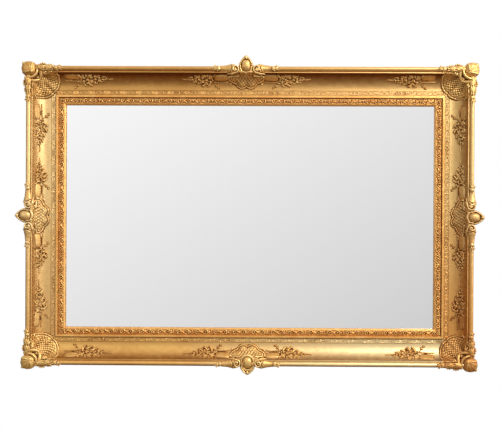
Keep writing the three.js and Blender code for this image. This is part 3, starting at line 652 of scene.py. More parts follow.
def cove_section(side):
    """The torus, quirk, fillet, cove and frieze, and the painted highlight (above 0.5) or painted shade
    (below 0.5) on each point.
    """
    level, flat = FILLET_HEIGHT, FRIEZE_HEIGHT
    torus = arc((TORUS_RADIUS, TORUS_CENTRE), (TORUS_RADIUS, TORUS_RADIUS), 205, 20, 26)
    fillet = [(FILLET_START, level - 0.3), (18.7, level), (20.9, level), (FILLET_END, level - 0.5)]
    cove = arc((COVE_END, COVE_START), (COVE_WIDTH, COVE_FALL), 181, 270, 34)
    line = [(72.6, flat), (73.1, flat - 0.9), (73.8, flat - 0.7), (74.2, flat + 0.3)]
    frieze = [(x, flat + 0.3) for x in (80.0, STRAP_END, STRAP_END + 0.5, FRIEZE_END)]
    back = [(FRIEZE_END, SEAT), (SIDE_WALL, SEAT), (SIDE_WALL, 50.0), (SIDE_WALL, 70.0)]
    quirk_shade, line_shade = QUIRK_SHADE[side], OUTER_LINE_SHADE[side]
    # The torus crest is lightened as a painted highlight, and its foot darkened as painted shade.
    torus_shade = 0.5 + 0.14 * np.sin(np.linspace(-0.6, math.pi, len(torus)))
    torus_shade -= TORUS_FOOT_SHADE[side] * unit(1 - np.linspace(0, 1.5, len(torus)))
    painted_shades = [
        torus_shade, [0.45, quirk_shade, quirk_shade, 0.45], [0.5, 0.6, 0.58, 0.42],
        np.linspace(COVE_SHADE[side], 0.52, len(cove)), [0.5, 0.3, 0.3, 0.5],
        [0.5, 0.48, line_shade, line_shade], [0.4] * len(back),
    ]
    return np.concatenate([torus, QUIRK, fillet, cove, line, frieze, back]), np.concatenate(painted_shades)


def sight_section(side):
    """The fillet, groove, bed and lip by the glass, and the painted highlight or painted shade on each point.
    """
    low, top = SIGHT_START + SIGHT_CHAMFER, SIGHT_FILLET_HEIGHT
    fillet = [(SIGHT_START, SEAT), (SIGHT_START, top - SIGHT_CHAMFER), (low, top), (94.0, top + 0.2)]
    fillet += [(GROOVE_START - 0.9, top), (GROOVE_START - 0.2, top - 0.7), (GROOVE_START, top - 2)]
    groove = [(GROOVE_START + 0.1, GROOVE_HEIGHT + 0.4), (GROOVE_START + 0.7, GROOVE_HEIGHT)]
    groove += [(BED_START - 0.4, GROOVE_HEIGHT), (BED_START, BED_HEIGHT), (BED_END, BED_HEIGHT)]
    lip = arc((BED_END, LIP_EDGE), (SIGHT_END - BED_END, LIP_RISE), 94, 0, 12)
    points = np.concatenate([fillet, groove, lip, [(SIGHT_END, SEAT)]])
    outer, inner = OUTER_LINE_SHADE[side], INNER_LINE_SHADE[side]
    shade = [outer, outer, 0.7, 0.6, 0.68, 0.54, 0.5 * inner + 0.25, inner, inner, inner, 0.36, 0.4]
    shade += list(0.42 + 0.32 * np.sin(np.linspace(0, math.pi, len(lip)))) + [0.2]
    return points, shade


def paint_flank(piece):
    """Ochre on the outer flank of a cove moulding, which carries no leaf."""
    piece.data.materials.append(FLANK)
    for face in piece.data.polygons:
        low, upright = -face.center.y < FLANK_TOP * MM, abs(face.normal.y) < FLANK_TURN
        if low and upright and on_flank(face.center):
            face.material_index = 1


def on_flank(point):
    limit = FLANK_DEPTH * MM
    return HALF_WIDTH * MM - abs(point.x) < limit or HALF_HEIGHT * MM - abs(point.z) < limit


STRAP_PERIOD = 54.0


def rib(gap, half, tall):
    """A half-round rib's height, a gap away from its middle line."""
    return np.where(gap < half, tall * np.sqrt(unit(1 - (gap / half) ** 2)), 0)


def span(value, low, high):
    """1 between low and high, falling to 0 over a millimetre and a half on either side."""
    return unit((value - low) / 1.5) * unit((high - value) / 1.5)


def repeating(along, period):
    """The place along one repeat of a pattern, from its middle."""
    return (along + period / 2) % period - period / 2


def strapwork(along, inset):
    """Low relief on the frieze: groups of ribs, then brackets that curl towards a small leaf."""
    x = np.abs(repeating(along, STRAP_PERIOD))
    y = (inset - FRIEZE_START) * 1.08
    middle = 8.0
    ring = np.abs(np.hypot((x - 15.0) / 6.0, (y - middle) / 5.6) - 1) * 5.8
    leaf = np.hypot((x - 27) / 4.6, (y - middle) / 6.2)
    forms = [
        np.maximum(rib(x, 1.3, 2.4), rib(np.abs(x - 4.4), 1.3, 2.3)) * span(y, 2.0, 14.2),
        rib(ring, 1.4, 2.4) * unit((16.5 - x) / 1.5),
        rib(np.hypot(x - 15.0, y - middle), 1.9, 2.1),
        rib(np.hypot(x - 20.0, y - middle), 1.4, 1.8),
        rib(leaf, 1.0, 2.5) * (0.72 + 0.28 * np.cos((y - middle) * 1.7)),
    ]
    forms += [rib(np.abs(y - line), 1.35, 2.2) * span(x, 13.5, 25.0) for line in (2.5, 13.5)]
    return 0.75 * np.maximum.reduce(forms)


RUN_PERIOD = 64.0


def running_leaf(along, inset):
    """The enrichment by the glass: a ribbed leaf, a C-scroll round a bead and a rosette, over and over."""
    x = repeating(along, RUN_PERIOD)
    y = inset - (BED_START + BED_END) / 2
    a = np.abs(x)
    scroll = np.abs(np.hypot((a - 18.5) / 7.2, (y - 0.4) / 6.8) - 1) * 7.0
    turn = np.arctan2(y, a - 32.0)
    petals = np.hypot(a - 32.0, y) / (5.6 + 1.3 * np.cos(5 * turn))
    forms = [
        rib(scroll, 1.6, 3.6) * unit((y + 5.2 - 0.6 * (a - 18.5)) / 1.5),
        rib(np.hypot(a - 18.5, y - 0.2), 2.7, 3.4),
        rib(np.hypot(a - 12.2, y + 5.4), 2.2, 3.2),
        rib(np.hypot(a - 25.2, y + 5.6), 2.0, 3.2),
        rib(petals, 1.0, 3.0) * (0.62 + 0.38 * np.abs(np.cos(2.5 * turn))),
        rib(np.hypot(a - 32.0, y), 1.7, 4.0),
    ]
    for k in range(-2, 3):
        lean = np.abs(x - k * 3.3 - 0.05 * k * (y + 6) ** 2)
        forms.append(rib(lean, 1.35, 3.6 - 0.3 * abs(k)) * span(y, -7.6, 6.8 - 1.2 * abs(k)))
    edge = rib(np.abs(y - 8.0), 0.9, 1.4) * (0.7 + 0.3 * np.cos(x * 2.0))
    return 1.2 * np.maximum(np.maximum.reduce(forms) * unit(8.6 - np.abs(y)), edge)


PLAIN_STEP, STRAP_STEP, LEAF_STEP = 14.0, 1.1, 1.0
STRIP_COLUMNS = 22


def strip_section(start, end, top, foot, crown=0.0):
    """A thin strip whose face is divided finely enough to carry relief, with two points at its foot."""
    inset = np.linspace(start, end, STRIP_COLUMNS)
    share = (inset - start) / (end - start) * 2 - 1
    raised = top + crown * np.sqrt(unit(1 - share**2))
    raised[[0, -1]] = foot + 0.3
    points = np.stack([inset, raised], 1)
    return np.concatenate([points, [(end, foot), (start, foot)]])


def on_face(relief):
    """The relief over a strip's face. The face's two edges and the strip's foot stay where they are."""

    def lift(along, inset):
        raised = relief(along, inset)
        raised[:, [0, -3, -2, -1]] = 0
        return raised

    return lift


def dress_side(side):
    """The mouldings of one side."""
    gold = LIT_SIDE_GOLD[side]
    section, shade = cove_section(side)
    cove = mitred_bar("cove_" + side, side, section, gold, PLAIN_STEP, shade, sharp=38, wave=0.18)
    paint_flank(cove)
    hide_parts("cove_moulding_" + side)
    strip = strip_section(FRIEZE_START + 0.4, STRAP_END, FRIEZE_HEIGHT + 0.2, FRIEZE_HEIGHT - 1.0)
    frieze = mitred_bar("strapwork_" + side, side, strip, gold, STRAP_STEP, lift=on_face(strapwork))
    section, shade = sight_section(side)
    sight = mitred_bar("sight_" + side, side, section, SIGHT_GOLD, PLAIN_STEP, shade, sharp=32, wave=0.12)
    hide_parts("sight_moulding_" + side)
    strip = strip_section(BED_START + 0.1, BED_END - 0.1, BED_HEIGHT, BED_HEIGHT - 0.8, 2.2)
    lift = on_face(running_leaf)
    leaves = mitred_bar("running_leaf_" + side, side, strip, SIGHT_GOLD, LEAF_STEP, lift=lift)
    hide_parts("sight_ornament_" + side)


# ---- Sprays ----

SPRAY_STEP = (1.15, 1.0, 0.85)
SPRAY_LOW, SPRAY_HIGH = 15.0, 72.0
SPRAY_FOOT = -1.4
SPRAY_LEAVES = (
    ((56, 36), (67, 21), -0.2, 4.2, 6.6), ((62, 48), (76, 64), 0.2, 4.4, 6.6),
    ((78, 48), (96, 60), 0.2, 4.2, 6.2), ((78, 32), (92, 20), -0.2, 4.0, 6.2),
    ((96, 44), (113, 54), 0.2, 3.8, 5.6), ((104, 34), (119, 24), -0.2, 3.6, 5.4),
    ((116, 40), (132, 47), 0.2, 3.2, 5.0), ((124, 36), (138, 29), -0.2, 3.0, 4.6),
    ((142, 38), (164, 36), 0.06, 3.0, 4.4),
)
SPRAY_FLOWERS = (
    (64, 31, 7.0), (62, 46, 5.6), (76, 39, 7.2), (74, 53, 5.2), (73, 23, 4.4), (89, 29, 6.4), (90, 47, 6.0),
    (102, 38, 6.0), (102, 25, 4.2), (88, 60, 4.2), (114, 45, 4.8), (115, 32, 4.8), (127, 39, 4.4),
)
SPRAY_BERRIES = (
    (82, 56), (96, 54), (84, 22), (108, 49), (109, 29), (120, 48), (135, 40), (139, 35), (83, 47),
)
# The skirt round sprays and fans: a thin sheet that carries a dark outline of painted shade.
SKIRT_WIDTH, SKIRT_HEIGHT = 2.6, 0.45


def spray_relief(plan, length, kind):
    """A smooth tongue and its stem, then a mound of flowers, leaves and berries that runs to a tip."""
    if kind == "centre":
        plan.dome((24, 31), (25, 12.5), 5.2, 3, power=3.0)
        plan.ridge([(2, 49.5), (18, 47.5), (34, 47.5), (46, 48.5), (55, 53)], (1.3, 1.8), (3.0, 4.4), 0.6)
    else:
        plan.dome((26, 29), (24, 10.5), 2.4, 3, power=3.0)
        plan.ridge([(1, 44.5), (16, 44.5), (32, 45), (46, 46.5), (55, 50)], (1.7, 2.0), (4.4, 4.8), 0.6)
    plan.flower((41, 60), 5.0, 6.0, 4, 45)
    plan.flower((33, 67), 4.4, 5.4, 4, 45)
    plan.ridge([(47, 50), (45, 54), (38, 63)], (1.1, 0.9), (3.0, 2.8))
    plan.ridge([(47, 19), (53, 26), (55, 35), (53, 44)], (2.0, 2.4), (5.0, 6.4), 0.3)
    scale = (length - 58) / 109

    def at(u, v):
        return 58 + (u - 58) * scale, v

    stem = [at(54, 44), at(70, 45), at(90, 41), at(112, 39), at(134, 38), at(160, 38)]
    plan.ridge(stem, (1.8, 1.0), (4.6, 3.2), 1.0)
    for root, tip, bow, width, height in SPRAY_LEAVES:
        plan.leaf(at(*root), at(*tip), bow, width, height, 2)
    for u, v, radius in SPRAY_FLOWERS:
        plan.flower(at(u, v), radius, 7.2, 5, 37 * u)
    for u, v in SPRAY_BERRIES:
        plan.dome(at(u, v), (2.5, 2.5), 5.8, blend=0.2)


def spray_form(length, kind):
    """The points, quads and shading of one spray, laid out flat, with painted shade on its hollows and foot.
    """
    mould = Mould((-3, SPRAY_LOW, -3.4), (length + 3, SPRAY_HIGH, 10.5), SPRAY_STEP)
    x, y = mould.plan()
    plan = Plan(x, y)
    spray_relief(plan, length, kind)
    rim = np.where(plan.height > -SKIRT_WIDTH, SKIRT_HEIGHT + plan.height * 0.15, plan.height)
    mould.sheet(np.where(plan.height > SKIRT_HEIGHT, plan.height, rim), np.full(x.shape, SPRAY_FOOT))
    points, quads = mould.surface()
    # Painted shade darkens the spray's foot and skirt where it meets the cove.
    low = 0.5 + 0.5 * unit((points[:, 2] + 0.2) / 2.4)
    return points, quads, relief_of(points, quads, 8, 1.5) * low


def on_cove(points):
    """Bends (along, arc length from the fillet, height off the cove) round the cove's section."""
    angle = points[:, 1] / COVE_ARC
    inset = COVE_END - COVE_WIDTH * np.cos(angle) + points[:, 2] * np.cos(angle)
    height = COVE_START - COVE_FALL * np.sin(angle) + points[:, 2] * np.sin(angle)
    return np.stack([points[:, 0], inset, height], 1)


def spray_run(side, kind, end):
    """Where a spray starts along its side and its length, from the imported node."""
    low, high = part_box(f"spray_{side}_{kind}_{end}")
    axis = 0 if side in ("top", "bottom") else 2
    turn = 1 if side in ("top", "left") else -1
    ends = sorted((turn * low[axis] / MM, turn * high[axis] / MM), key=abs)
    return (ends[0] if kind == "centre" else ends[1]), abs(ends[1] - ends[0])


def lay_sprays():
    forms = {}
    for side in SIDES:
        for kind, end in (("centre", "a"), ("centre", "b"), ("corner", "a"), ("corner", "b")):
            start, length = spray_run(side, kind, end)
            key = kind, round(length)
            if key not in forms:
                forms[key] = spray_form(length, kind)
            points, quads, shade_and_patina = forms[key]
            outward = 1 if (kind == "centre") == (end == "b") else -1
            placed = side_place(side)(on_cove(points * (outward, 1, 1) + (start, 0, 0)))
            piece = made(f"leaves_{side}_{kind}_{end}", placed, quads, LIT_SIDE_CARVED[side], relief=shade_and_patina)
            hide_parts(f"spray_{side}_{kind}_{end}")


# ---- Castings on the torus ----

CAST_STEP = (1.35, 1.35, 1.3)


def scales(x, y, pitch, tall):
    """A net of raised, slightly pointed scales."""
    u, v = (((x * 1.15 + hand * y) / math.sqrt(2) / pitch) % 1 for hand in (1, -1))
    off = np.minimum(np.abs(u - 0.5), np.abs(v - 0.5)) * pitch
    far = np.hypot(np.minimum(u, 1 - u), np.minimum(v, 1 - v)) * pitch
    return tall * np.exp(-((off / 1.05) ** 2)) + 0.9 * tall * np.exp(-((far / 1.25) ** 2))


def shell_scales(x, y, pitch, tall):
    """Rows of rounded scales on arcs about the corner, each row set half a scale round from the last."""
    row = np.hypot(x, y) / (math.sqrt(2) * pitch)
    step = np.arctan2(y, x) * 80 / (math.sqrt(2) * pitch)
    bump = [0.5 + 0.5 * np.cos(2 * math.pi * (row + hand * step)) for hand in (-1, 1)]
    return tall * np.sqrt(bump[0] * bump[1])


def torus_top(across):
    """Height of the skin that leaves lie on, over the torus and a little past either side of it."""
    return TORUS_CENTRE + np.sqrt(np.clip(92 - (across - TORUS_RADIUS) ** 2, 2.5, None))


def blade(mould, root, tip, size, flip=False, bow=0.12):
    """One lobe of a leaf on the torus: a tapering bar whose tip curls up. Places are (along, across)."""
    path = bent(root, tip, bow, 9)
    share = np.linspace(0, 1, 9)
    curl = 8 * unit(share - 0.75)
    rise = torus_top(path[:, 1]) - 0.4 + 1.2 * np.sin(math.pi * share) + curl
    radii = size * (0.55 + 0.6 * np.sin(math.pi * share**0.8))
    if flip:
        path = path[:, ::-1]
    mould.tube(np.column_stack([path, rise]), radii, 0.25)
    mould.ball((*path[-1], rise[-1]), (size * 0.95,) * 3, 0.2)


def palmette(mould, hand, root, tips, size, flip=False):
    """A fan of blades from one root. Places are (along, across), mirrored by the hand."""
    for k, tip in enumerate(tips):
        bow = 0.16 * (k - (len(tips) - 1) / 2) / len(tips)
        blade(mould, (hand * root[0], root[1]), (hand * tip[0], tip[1]), size, flip, bow=hand * bow)


def skin(mould, hand, first, last, wide, narrow, flip=False):
    """The bed of foliage that swells over the torus and dies into it."""
    share = np.linspace(0, 1, 12)
    along = hand * (first + (last - first) * share)
    radii = wide + (narrow - wide) * share
    centre = np.column_stack([along, TORUS_RADIUS - 1.6 * (1 - share), TORUS_CREST - 0.5 - 0.8 * radii])
    if flip:
        centre = centre[:, [1, 0, 2]]
    mould.tube(centre, radii, 1.2, 0.85)


def tail_leaves(mould, hand, start, flip=False):
    """The last leaves of a casting on the torus: two small palmettes and a standing bud."""
    first = [(start + 10, 0.5), (start + 14, 5), (start + 14, 11), (start + 10, 15.5)]
    palmette(mould, hand, (start, 8), first, 2.3, flip)
    last = [(start + 22, 3), (start + 27, 8), (start + 22, 13)]
    palmette(mould, hand, (start + 12, 8), last, 1.9, flip)
    bud = hand * (start + 17), -0.5
    mould.ball((*(bud[::-1] if flip else bud), 84), (3.6, 3.6, 3.8), 0.5)


# ---- Centre cartouches ----

FAN_OUTLINE = (
    (0, 17), (34, 17), (60, 29), (63, 36), (57, 43), (50, 49), (40, 52), (35, 55), (31, 62), (22, 68),
    (12, 69), (5, 66), (0, 63),
)
ARM_SHEATH = ((26, 11, 78), (36, 9, 78), (46, 7.5, 78), (56, 7.5, 78.5), (66, 8, 79), (78, 8, 79))
ARM_GIRTH = (11.5, 14.0, 15.2, 13.2, 10.4, 8.4)
ARM_ROLL = (
    (62, 25), (48, 25.5), (34, 23), (26, 17), (24.5, 9), (29, 1.5), (37, -0.5), (43, 5), (43, 12), (38, 16.5),
    (33, 14),
)


def polygon_depth(x, y, outline):
    """The distance inside a closed outline, below zero outside it."""
    best, inside = np.full(x.shape, 1e9), np.zeros(x.shape, bool)
    for (ax, ay), (bx, by) in zip(outline, np.roll(outline, -1, axis=0)):
        run_x, run_y = bx - ax, by - ay
        t = unit(((x - ax) * run_x + (y - ay) * run_y) / max(run_x**2 + run_y**2, 1e-9))
        best = np.minimum(best, np.hypot(x - ax - run_x * t, y - ay - run_y * t))
        if ay != by:
            inside ^= ((ay > y) != (by > y)) & (x < ax + (y - ay) / run_y * run_x)
    return np.where(inside, best, -best)


def fan_depth(x, y):
    """Depth inside the fan's outline: a broad shell, waisted over its ears, with a dip at its middle."""
    half = smooth_path(FAN_OUTLINE, 46)
    whole = np.concatenate([half, half[::-1] * (-1, 1)])
    return polygon_depth(x, y, whole)


def rim_of(depth, phase, beads):
    """A raised edge broken into beads, with a channel inside it."""
    chain = 0.66 + 0.34 * np.cos(beads * phase)
    return 2.6 * chain * np.exp(-(((depth - 2.4) / 1.5) ** 2)) - 1.6 * np.exp(-(((depth - 5.6) / 1.2) ** 2))


def skirted(top, edge, ground):
    """A heightfield with a thin skirt round it, which carries a dark outline of painted shade."""
    outside = edge < 0
    return np.where(outside, ground + SKIRT_HEIGHT, top), edge + SKIRT_WIDTH


def centre_fan(mould):
    x, y = mould.plan()
    depth = fan_depth(x, y)
    ground = cove_height(y)
    rise = 2.4 + 8.0 * unit(depth / 15) ** 0.7
    angle = np.arctan2(x, y - 20)
    inner = unit((depth - 5.5) / 2)
    top = ground + rise + rim_of(depth, angle * 60, 1.0)
    top += scales(x, (y - 30) * 0.85, 8.4, 2.3) * inner
    seam = np.exp(-(((np.abs(x) - 33 + 0.5 * (y - 50)) / 1.4) ** 2)) * unit((y - 34) / 5)
    top -= 1.4 * seam * (depth > 0)
    top = np.minimum(top, 84 - 0.25 * np.clip(y - 24, 0, None))
    top = np.minimum(top, 81.0 + 0.9 * np.clip(y - 20, 0, None))
    top, edge = skirted(top, depth, ground)
    mould.sheet(top, np.minimum(face_height(y) - 1.5, 80), np.minimum(edge, y - 20))


def crest_outline(x, y, tip):
    """Depth inside a shield with a bowed point, below zero outside it. Its tip points to negative y, out of
    the frame."""
    half, middle, power = 24.5, -4.5, 1.34
    outward = np.clip((middle - y) / (tip + middle), 0, None)
    far = ((np.abs(x) / half) ** power + outward**power) ** (1 / power)
    return half * (1 - far) - np.clip(y - middle, 0, None) * 0.18


def centre_head(mould, rise):
    """The pointed crest, the cabochon in front of it, the collar round its inner end and its bud."""
    shift = rise - 30.5
    x, y = mould.plan()
    edge = np.minimum(crest_outline(x, y, rise - 1.8), 24 - y)
    face = 83 + 6.5 * unit(edge / 4.0) ** 0.6 - 2.6 * unit((edge - 4.2) / 4)
    mould.sheet(face, np.full(x.shape, 64.0), edge)
    head = 13.5 - shift * 1.9
    mould.ball((0, head, 86), (18.6, 22.4, 9), carve=True)
    mould.ball((0, head, 77.5), (16.6, 20.4, 20.0), blend=0.4, power=2.4)
    for dx, dy in ((-5, 4), (4, -3), (1, 8), (-3, -8), (7, 6)):
        mould.ball((dx, head + dy, 99.6), (3.4, 3.4, 3.0), carve=True)
    ring = arc((0, head + 0.5), (20.5, 22.5), -8, 188, 30)
    radii = 1.4 + 2.8 * np.sin(np.linspace(0, math.pi, len(ring))) ** 0.7
    mould.tube(np.column_stack([ring, np.full(len(ring), 84.0)]), radii, 0.8)
    lip = arc((0, head + 1), (27.5, 31.0), 28, 152, 18)
    mould.tube(np.column_stack([lip, cove_height(lip[:, 1]) + 6.5]), 1.7, 1.0)
    mould.ball((0, 10.5 - rise, 89.6), (4.6, 6.0, 3.2), 1.2)


def arm(mould, hand):
    """A scrolled arm beside the head: a striped sheath that swells past the edge, with a roll at its root."""
    mould.tube(np.array(ARM_SHEATH) * (hand, 1, 1), ARM_GIRTH, 0.6, 0.8)
    bend = smooth_path(ARM_ROLL, 34)
    share = np.linspace(0, 1, len(bend))
    rise = 85 + 7.5 * share**0.7 - 9 * unit(1 - 5 * share)
    mould.tube(np.column_stack([bend * (hand, 1), rise]), np.linspace(2.2, 3.3, len(bend)), 0.2)
    mould.ball((hand * 35.5, 9.5, 90.5), (3.9, 3.9, 3.9), 0.1)
    for k in range(3):
        start = 46 + 8.0 * k
        line = [(start + 2, -5.5 + 2.2 * k), (start - 2, 2), (start - 2.5, 10), (start + 3, 18)]
        stripe = smooth_path(line, 12)
        girth = 15.4 - 2.3 * (k + 0.4)
        lift = 78.3 + 0.82 * np.sqrt(np.clip(girth**2 - (stripe[:, 1] - 7.8) ** 2, 0.5, None))
        mould.tube(np.column_stack([stripe * (hand, 1), lift]), 2.6 - 0.4 * k, 0.3)


def smooth_path(points, count):
    """A path of even steps through a few points, with its corners rounded off."""
    points = np.asarray(points, float)
    for _ in range(2):
        first, last = points[:-1], points[1:]
        middle = np.stack([0.75 * first + 0.25 * last, 0.25 * first + 0.75 * last], 1)
        points = np.concatenate([points[:1], middle.reshape(-1, points.shape[1]), points[-1:]])
    run = np.concatenate([[0], np.cumsum(np.linalg.norm(np.diff(points, axis=0), axis=1))])
    share = np.linspace(0, run[-1], count)
    return np.stack([np.interp(share, run, points[:, k]) for k in range(points.shape[1])], 1)


def centre_form(rise):
    mould = Mould((-122, -rise - 3, 30), (122, 76, 99), CAST_STEP)
    centre_fan(mould)
    for hand in (-1, 1):
        skin(mould, hand, 60, 108, 10.4, 6.6)
        tail_leaves(mould, hand, 86)
        arm(mould, hand)
        roll = smooth_path([(hand * 27, 29.5, 66), (hand * 42, 30, 63), (hand * 56, 30.5, 60)], 12)
        mould.tube(roll, np.linspace(3.4, 2.2, 12), 0.5)
        mould.ball((hand * 58, 32, 61), (4.2, 4.2, 4.2), 0.2)
        mould.ball((hand * 53, 52, 42.5), (3.4, 3.4, 3.6), 0.3)
    centre_head(mould, rise)
    return mould.surface()


def place_centre_pieces():
    forms = {}
    for side in SIDES:
        rise = CREST_RISE[side] - 0.5
        if rise not in forms:
            points, quads = centre_form(rise)
            forms[rise] = points, quads, cast_shade_and_patina(points, quads, points[:, 1])
        points, quads, shade_and_patina = forms[rise]
        placed = side_place(side)(points + np.array([CENTRE_SHIFT[side], 0, 0]))
        piece = made("cartouche_" + side, placed, quads, LIT_SIDE_CARVED[side], relief=shade_and_patina)
        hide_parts("centre_cartouche_" + side)


def cast_shade_and_patina(points, quads, inset):
    """The shade and patina of a casting: hollows darkened, partly as toned patina and partly as painted
    shade, crests lightened as a painted highlight, and painted shade where it meets the mouldings.
    """
    # Painted shade where the casting meets the mouldings.
    low = 0.35 + 0.65 * unit((points[:, 2] - face_height(inset) + 0.3) / 2.2)
    return relief_of(points, quads, 9, 0.8) * np.where(inset > 24, low, 1)


# ---- Corner cartouches ----

FAN_CENTRE, FAN_RADIUS = 40.0, 64.5
NEAR_LEAVES = ((50, -7), (57, -8.5), (64, -7), (70, -2.5), (73, 5), (72, 13), (66, 20))
FAR_LEAVES = ((78, -4.5), (85, -4.0), (91, 0), (94, 6.5), (91, 13), (84, 18))


def corner_fan(mould):
    """One round shell of scales that opens out of the corner, with a thin beaded edge."""
    x, y = mould.plan()
    far = np.minimum(x, y)
    split = np.abs(x - y) / math.sqrt(2)
    depth = FAN_RADIUS - np.hypot(x - FAN_CENTRE, y - FAN_CENTRE) - 2.6 * np.exp(-((split / 8.0) ** 2))
    ground = cove_height(far)
    rise = 2.6 + 8.5 * unit(depth / 22) ** 0.7
    dish = 42 + 38 * unit(1 - (np.hypot(x - 8, y - 8) - 24) / 84) ** 2.0
    base = np.maximum(ground + 2.4, dish - 4) * 0.5 + 0.5 * np.maximum(ground, dish - 3) + rise * 0.8
    turn = np.arctan2(y - FAN_CENTRE, x - FAN_CENTRE)
    top = base + 0.7 * rim_of(depth, turn * 34, 1.0)
    top += shell_scales(x, y, 6.6, 1.8) * unit((depth - 6.0) / 3)
    top -= 1.6 * np.exp(-((split / 6.0) ** 2)) * unit((x + y - 96) / 24)
    top = np.minimum(top, 81.0 + 1.2 * np.clip(far - 19, 0, None))
    top, edge = skirted(top, depth, ground)
    mould.sheet(top, np.minimum(ground - 1.5, 79), np.minimum(edge, far - 18))


def corner_head(mould):
    """The fluted cushion on the corner, the crescent under it and the rolls that hem it in."""
    mould.ball((10.0, 10.0, 77), (24.4, 24.4, 18.4), 0.8, power=2.6)
    hinge = np.array([20.0, 20.0])
    for k in range(5):
        angle = math.radians(173 + 26 * k)
        reach = (27, 33, 38, 33, 27)[k]
        tip = np.clip(hinge + reach * np.array([math.cos(angle), math.sin(angle)]), -9.6, None)
        path = smooth_path([(*hinge, 92.5), (*(0.45 * tip + 0.55 * hinge), 94.0), (*tip, 86.5)], 10)
        mould.tube(path, np.linspace(2.2, 4.8, 10), 0.9)
    mould.ball((*hinge, 91.0), (6.0, 6.0, 4.4), 1.0)
    ring = arc((13.0, 13.0), (26.5, 26.5), -30, 120, 34)
    girth = 2.0 + 2.4 * np.sin(np.linspace(0.1, math.pi - 0.1, len(ring)))
    mould.tube(np.column_stack([ring, np.full(len(ring), 86.0)]), girth, 0.3)
    for flip in (False, True):
        roll = smooth_path([(-3.0, 42.0), (8, 47), (21, 50), (34, 49), (44, 44)], 22)
        roll = roll[:, ::-1] if flip else roll
        radii = 2.6 + 3.4 * np.sin(np.linspace(0.1, math.pi, len(roll))) ** 0.8
        rise = np.interp(np.linspace(0, 1, len(roll)), (0, 0.3, 1), (82, 83, 74))
        mould.tube(np.column_stack([roll, rise]), radii, 0.3)
        eye = (0.0, 41.0) if not flip else (41.0, 0.0)
        mould.ball((*eye, 85), (5.0, 5.0, 5.2), 0.2)
    mould.ball((38, 38, 72), (8, 8, 7), 1.0)


def corner_form():
    mould = Mould((-17, -17, 33), (134, 134, 99), CAST_STEP)
    corner_fan(mould)
    for flip in (False, True):
        skin(mould, 1, 44, 128, 12.6, 6.8, flip)
        palmette(mould, 1, (43, 13), NEAR_LEAVES, 3.2, flip)
        palmette(mould, 1, (66, 11), FAR_LEAVES, 2.8, flip)
        tail_leaves(mould, 1, 97, flip)
        scroll = smooth_path([(60.0, 25), (74, 24), (86, 24), (97, 26), (106, 30)], 16)
        scroll = scroll[:, ::-1] if flip else scroll
        rise = np.interp(np.linspace(0, 1, 16), (0, 1), (80, 62))
        mould.tube(np.column_stack([scroll, rise]), np.linspace(3.6, 1.8, 16), 0.5)
    corner_head(mould)
    return mould.surface()


def place_corner_pieces():
    points, quads = corner_form()
    shade_and_patina = cast_shade_and_patina(points, quads, np.minimum(points[:, 0], points[:, 1]))
    for corner in CORNERS:
        placed = corner_place(corner)(points)
        piece = made("corner_" + corner, placed, quads, CORNER_CARVED[corner], relief=shade_and_patina)
        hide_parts("corner_cartouche_" + corner)


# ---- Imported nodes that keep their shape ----


def finish_nodes():
    pine_x = timber("pine_rails", PINE_PALE, PINE_DARK, 0)
    pine_z = timber("pine_stiles", PINE_PALE, PINE_DARK, 2)
    oak = timber("oak_keys", colour(142, 102, 62), colour(94, 62, 36), 0, 1.6)
    board = timber("back_boards", colour(158, 124, 86), colour(112, 80, 50), 2, 0.8)
    bead = timber("glazing_fillets", colour(150, 112, 70), colour(112, 78, 46), 0)
    brass = metal("brass", colour(198, 160, 92), colour(120, 88, 46), 0.34)
    steel = metal("steel", colour(160, 156, 148), colour(96, 84, 70), 0.4)
    looks = {
        "back_rail": pine_x, "back_stile": pine_z, "corner_key": oak, "back_board": board,
        "glazing_fillet": bead, "mirror_plate": looking_glass(), "hanger_screw": steel, "hanger": brass,
    }
    for name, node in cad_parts.items():
        look = next((m for start, m in looks.items() if name.startswith(start)), None)
        if look is not None:
            node.data.materials.clear()
            node.data.materials.append(look)


# ---- Stage ----

IMAGE_WIDTH = 500
FOCAL_PIXELS = 753.6
CAMERA_PLACE = (0.0567, -2.6, -0.0684)
YAW, PITCH, ROLL = (math.radians(a) for a in (-0.540, -0.2435, 0.312))
SHIFT_PIXELS = (8.9, 23.65)
FLOOR_LEVEL = -1.9
FLOOR_DEPTH, FLOOR_REACH, FLOOR_GLOW = (-3.2, 1.9), 3.0, 0.8
RAYS = "Camera", "Glossy", "Transmission"
FLOOR_TINT = (1.0, 0.62, 0.34)
LAMPS = (
    ("key", (1.9, -2.6, 1.9), (1.3, 1.0), 78),
    ("side", (2.9, -1.3, 0.5), (1.0, 1.4), 19),
    ("fill", (-2.4, -2.6, 0.6), (1.2, 1.6), 10),
)


def set_camera():
    data = bpy.data.cameras.new("camera")
    data.sensor_width = 36.0
    data.lens = FOCAL_PIXELS / IMAGE_WIDTH * data.sensor_width
    data.shift_x, data.shift_y = -SHIFT_PIXELS[0] / IMAGE_WIDTH, SHIFT_PIXELS[1] / IMAGE_WIDTH
    camera = bpy.data.objects.new("camera", data)
    forward = Vector((math.sin(YAW) * math.cos(PITCH), math.cos(YAW) * math.cos(PITCH), math.sin(PITCH)))
    right = Vector((math.cos(YAW), -math.sin(YAW), 0))
    up = right.cross(forward)
    across = right * math.cos(ROLL) + up * math.sin(ROLL)
    tall = up * math.cos(ROLL) - right * math.sin(ROLL)
    turn = Matrix((across, tall, -forward)).transposed().to_4x4()
    camera.matrix_world = Matrix.Translation(CAMERA_PLACE) @ turn
    bpy.context.scene.collection.objects.link(camera)
    bpy.context.scene.camera = camera


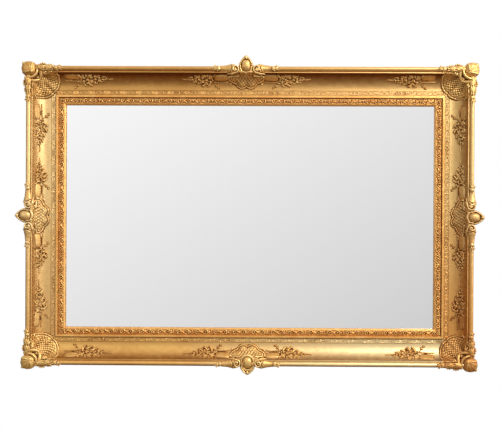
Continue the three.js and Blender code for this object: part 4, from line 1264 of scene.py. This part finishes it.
def add_lamp(name, place, size, power):
    """A soft lamp that faces the middle of the mirror."""
    data = bpy.data.lights.new(name, "AREA")
    data.shape = "RECTANGLE"
    data.size, data.size_y = size
    data.energy = power
    lamp = bpy.data.objects.new(name, data)
    lamp.location = place
    lamp.rotation_euler = (-Vector(place)).to_track_quat("-Z", "Y").to_euler()
    bpy.context.scene.collection.objects.link(lamp)


def set_world():
    """White to the camera and through glass. Shiny surfaces see a studio that is brighter above and to the
    right of them, and in front of them a pale wall that dims to the right and towards the floor. Matt
    surfaces are lit by a softer slope from above, the right and the front."""
    world = bpy.data.worlds.new("studio")
    bpy.context.scene.world = world
    n = Nodes(world, "OutputWorld")
    spot = n.add("TexCoord", out="Generated")
    camera, glossy, through = (n.add("LightPath", out=f"Is {ray} Ray") for ray in RAYS)

    def slope(direction, low, high, to_low=0.0, to_high=1.0):
        lean = n.add("VectorMath", {0: spot, 1: direction}, out="Value", operation="DOT_PRODUCT")
        return n.span(lean, low, high, to_low, to_high)

    def light(strength, tint=(1, 1, 1)):
        return n.add("Background", {"Color": (*tint, 1), "Strength": strength})

    room = n.mix_shaders(slope((0.42, 0.0, 0.85), -0.8, 0.8), light(0.06, FLOOR_TINT), light(1.2))
    wall = light(slope((-0.36, 0.0, 0.62), -0.6, 0.3, 0.233, 1.106))
    shiny = n.mix_shaders(slope((0.0, -1.0, 0.0), 0.84, 0.95), room, wall)
    fill = n.mix_shaders(slope((0.42, -0.3, 0.85), -0.9, 0.9), light(0.08, FLOOR_TINT), light(0.8))
    lit = n.mix_shaders(glossy, fill, shiny)
    n.show(n.mix_shaders(n.math("MAXIMUM", camera, through), lit, light(1.0)))


def add_floor():
    """A plain floor below the hung mirror. Its paint is a brown-grey, and most of what the camera sees of it
    is white glow laid over the paint and the shadow."""
    n = Paint("floor_paint")
    n.finish(Base_Color=colour(150, 132, 110), Roughness=0.8)
    share = n.math("MULTIPLY", n.add("LightPath", out="Is Camera Ray"), FLOOR_GLOW)
    n.show(n.mix_shaders(share, n.shader.outputs[0], n.add("Emission", {"Strength": 1.0})))
    mesh = bpy.data.meshes.new("floor")
    (low, high), wide = FLOOR_DEPTH, FLOOR_REACH
    corners = [(-wide, low), (wide, low), (wide, high), (-wide, high)]
    mesh.from_pydata([(x, y, FLOOR_LEVEL) for x, y in corners], [], [(0, 1, 2, 3)])
    mesh.materials.append(n.material)
    floor = bpy.data.objects.new("floor", mesh)
    bpy.context.scene.collection.objects.link(floor)


def set_stage():
    set_camera()
    set_world()
    add_floor()
    for lamp in LAMPS:
        add_lamp(*lamp)
    bpy.context.scene.view_settings.view_transform = "Standard"


set_stage()
finish_nodes()
for name in SIDES:
    dress_side(name)
lay_sprays()
place_centre_pieces()
place_corner_pieces()
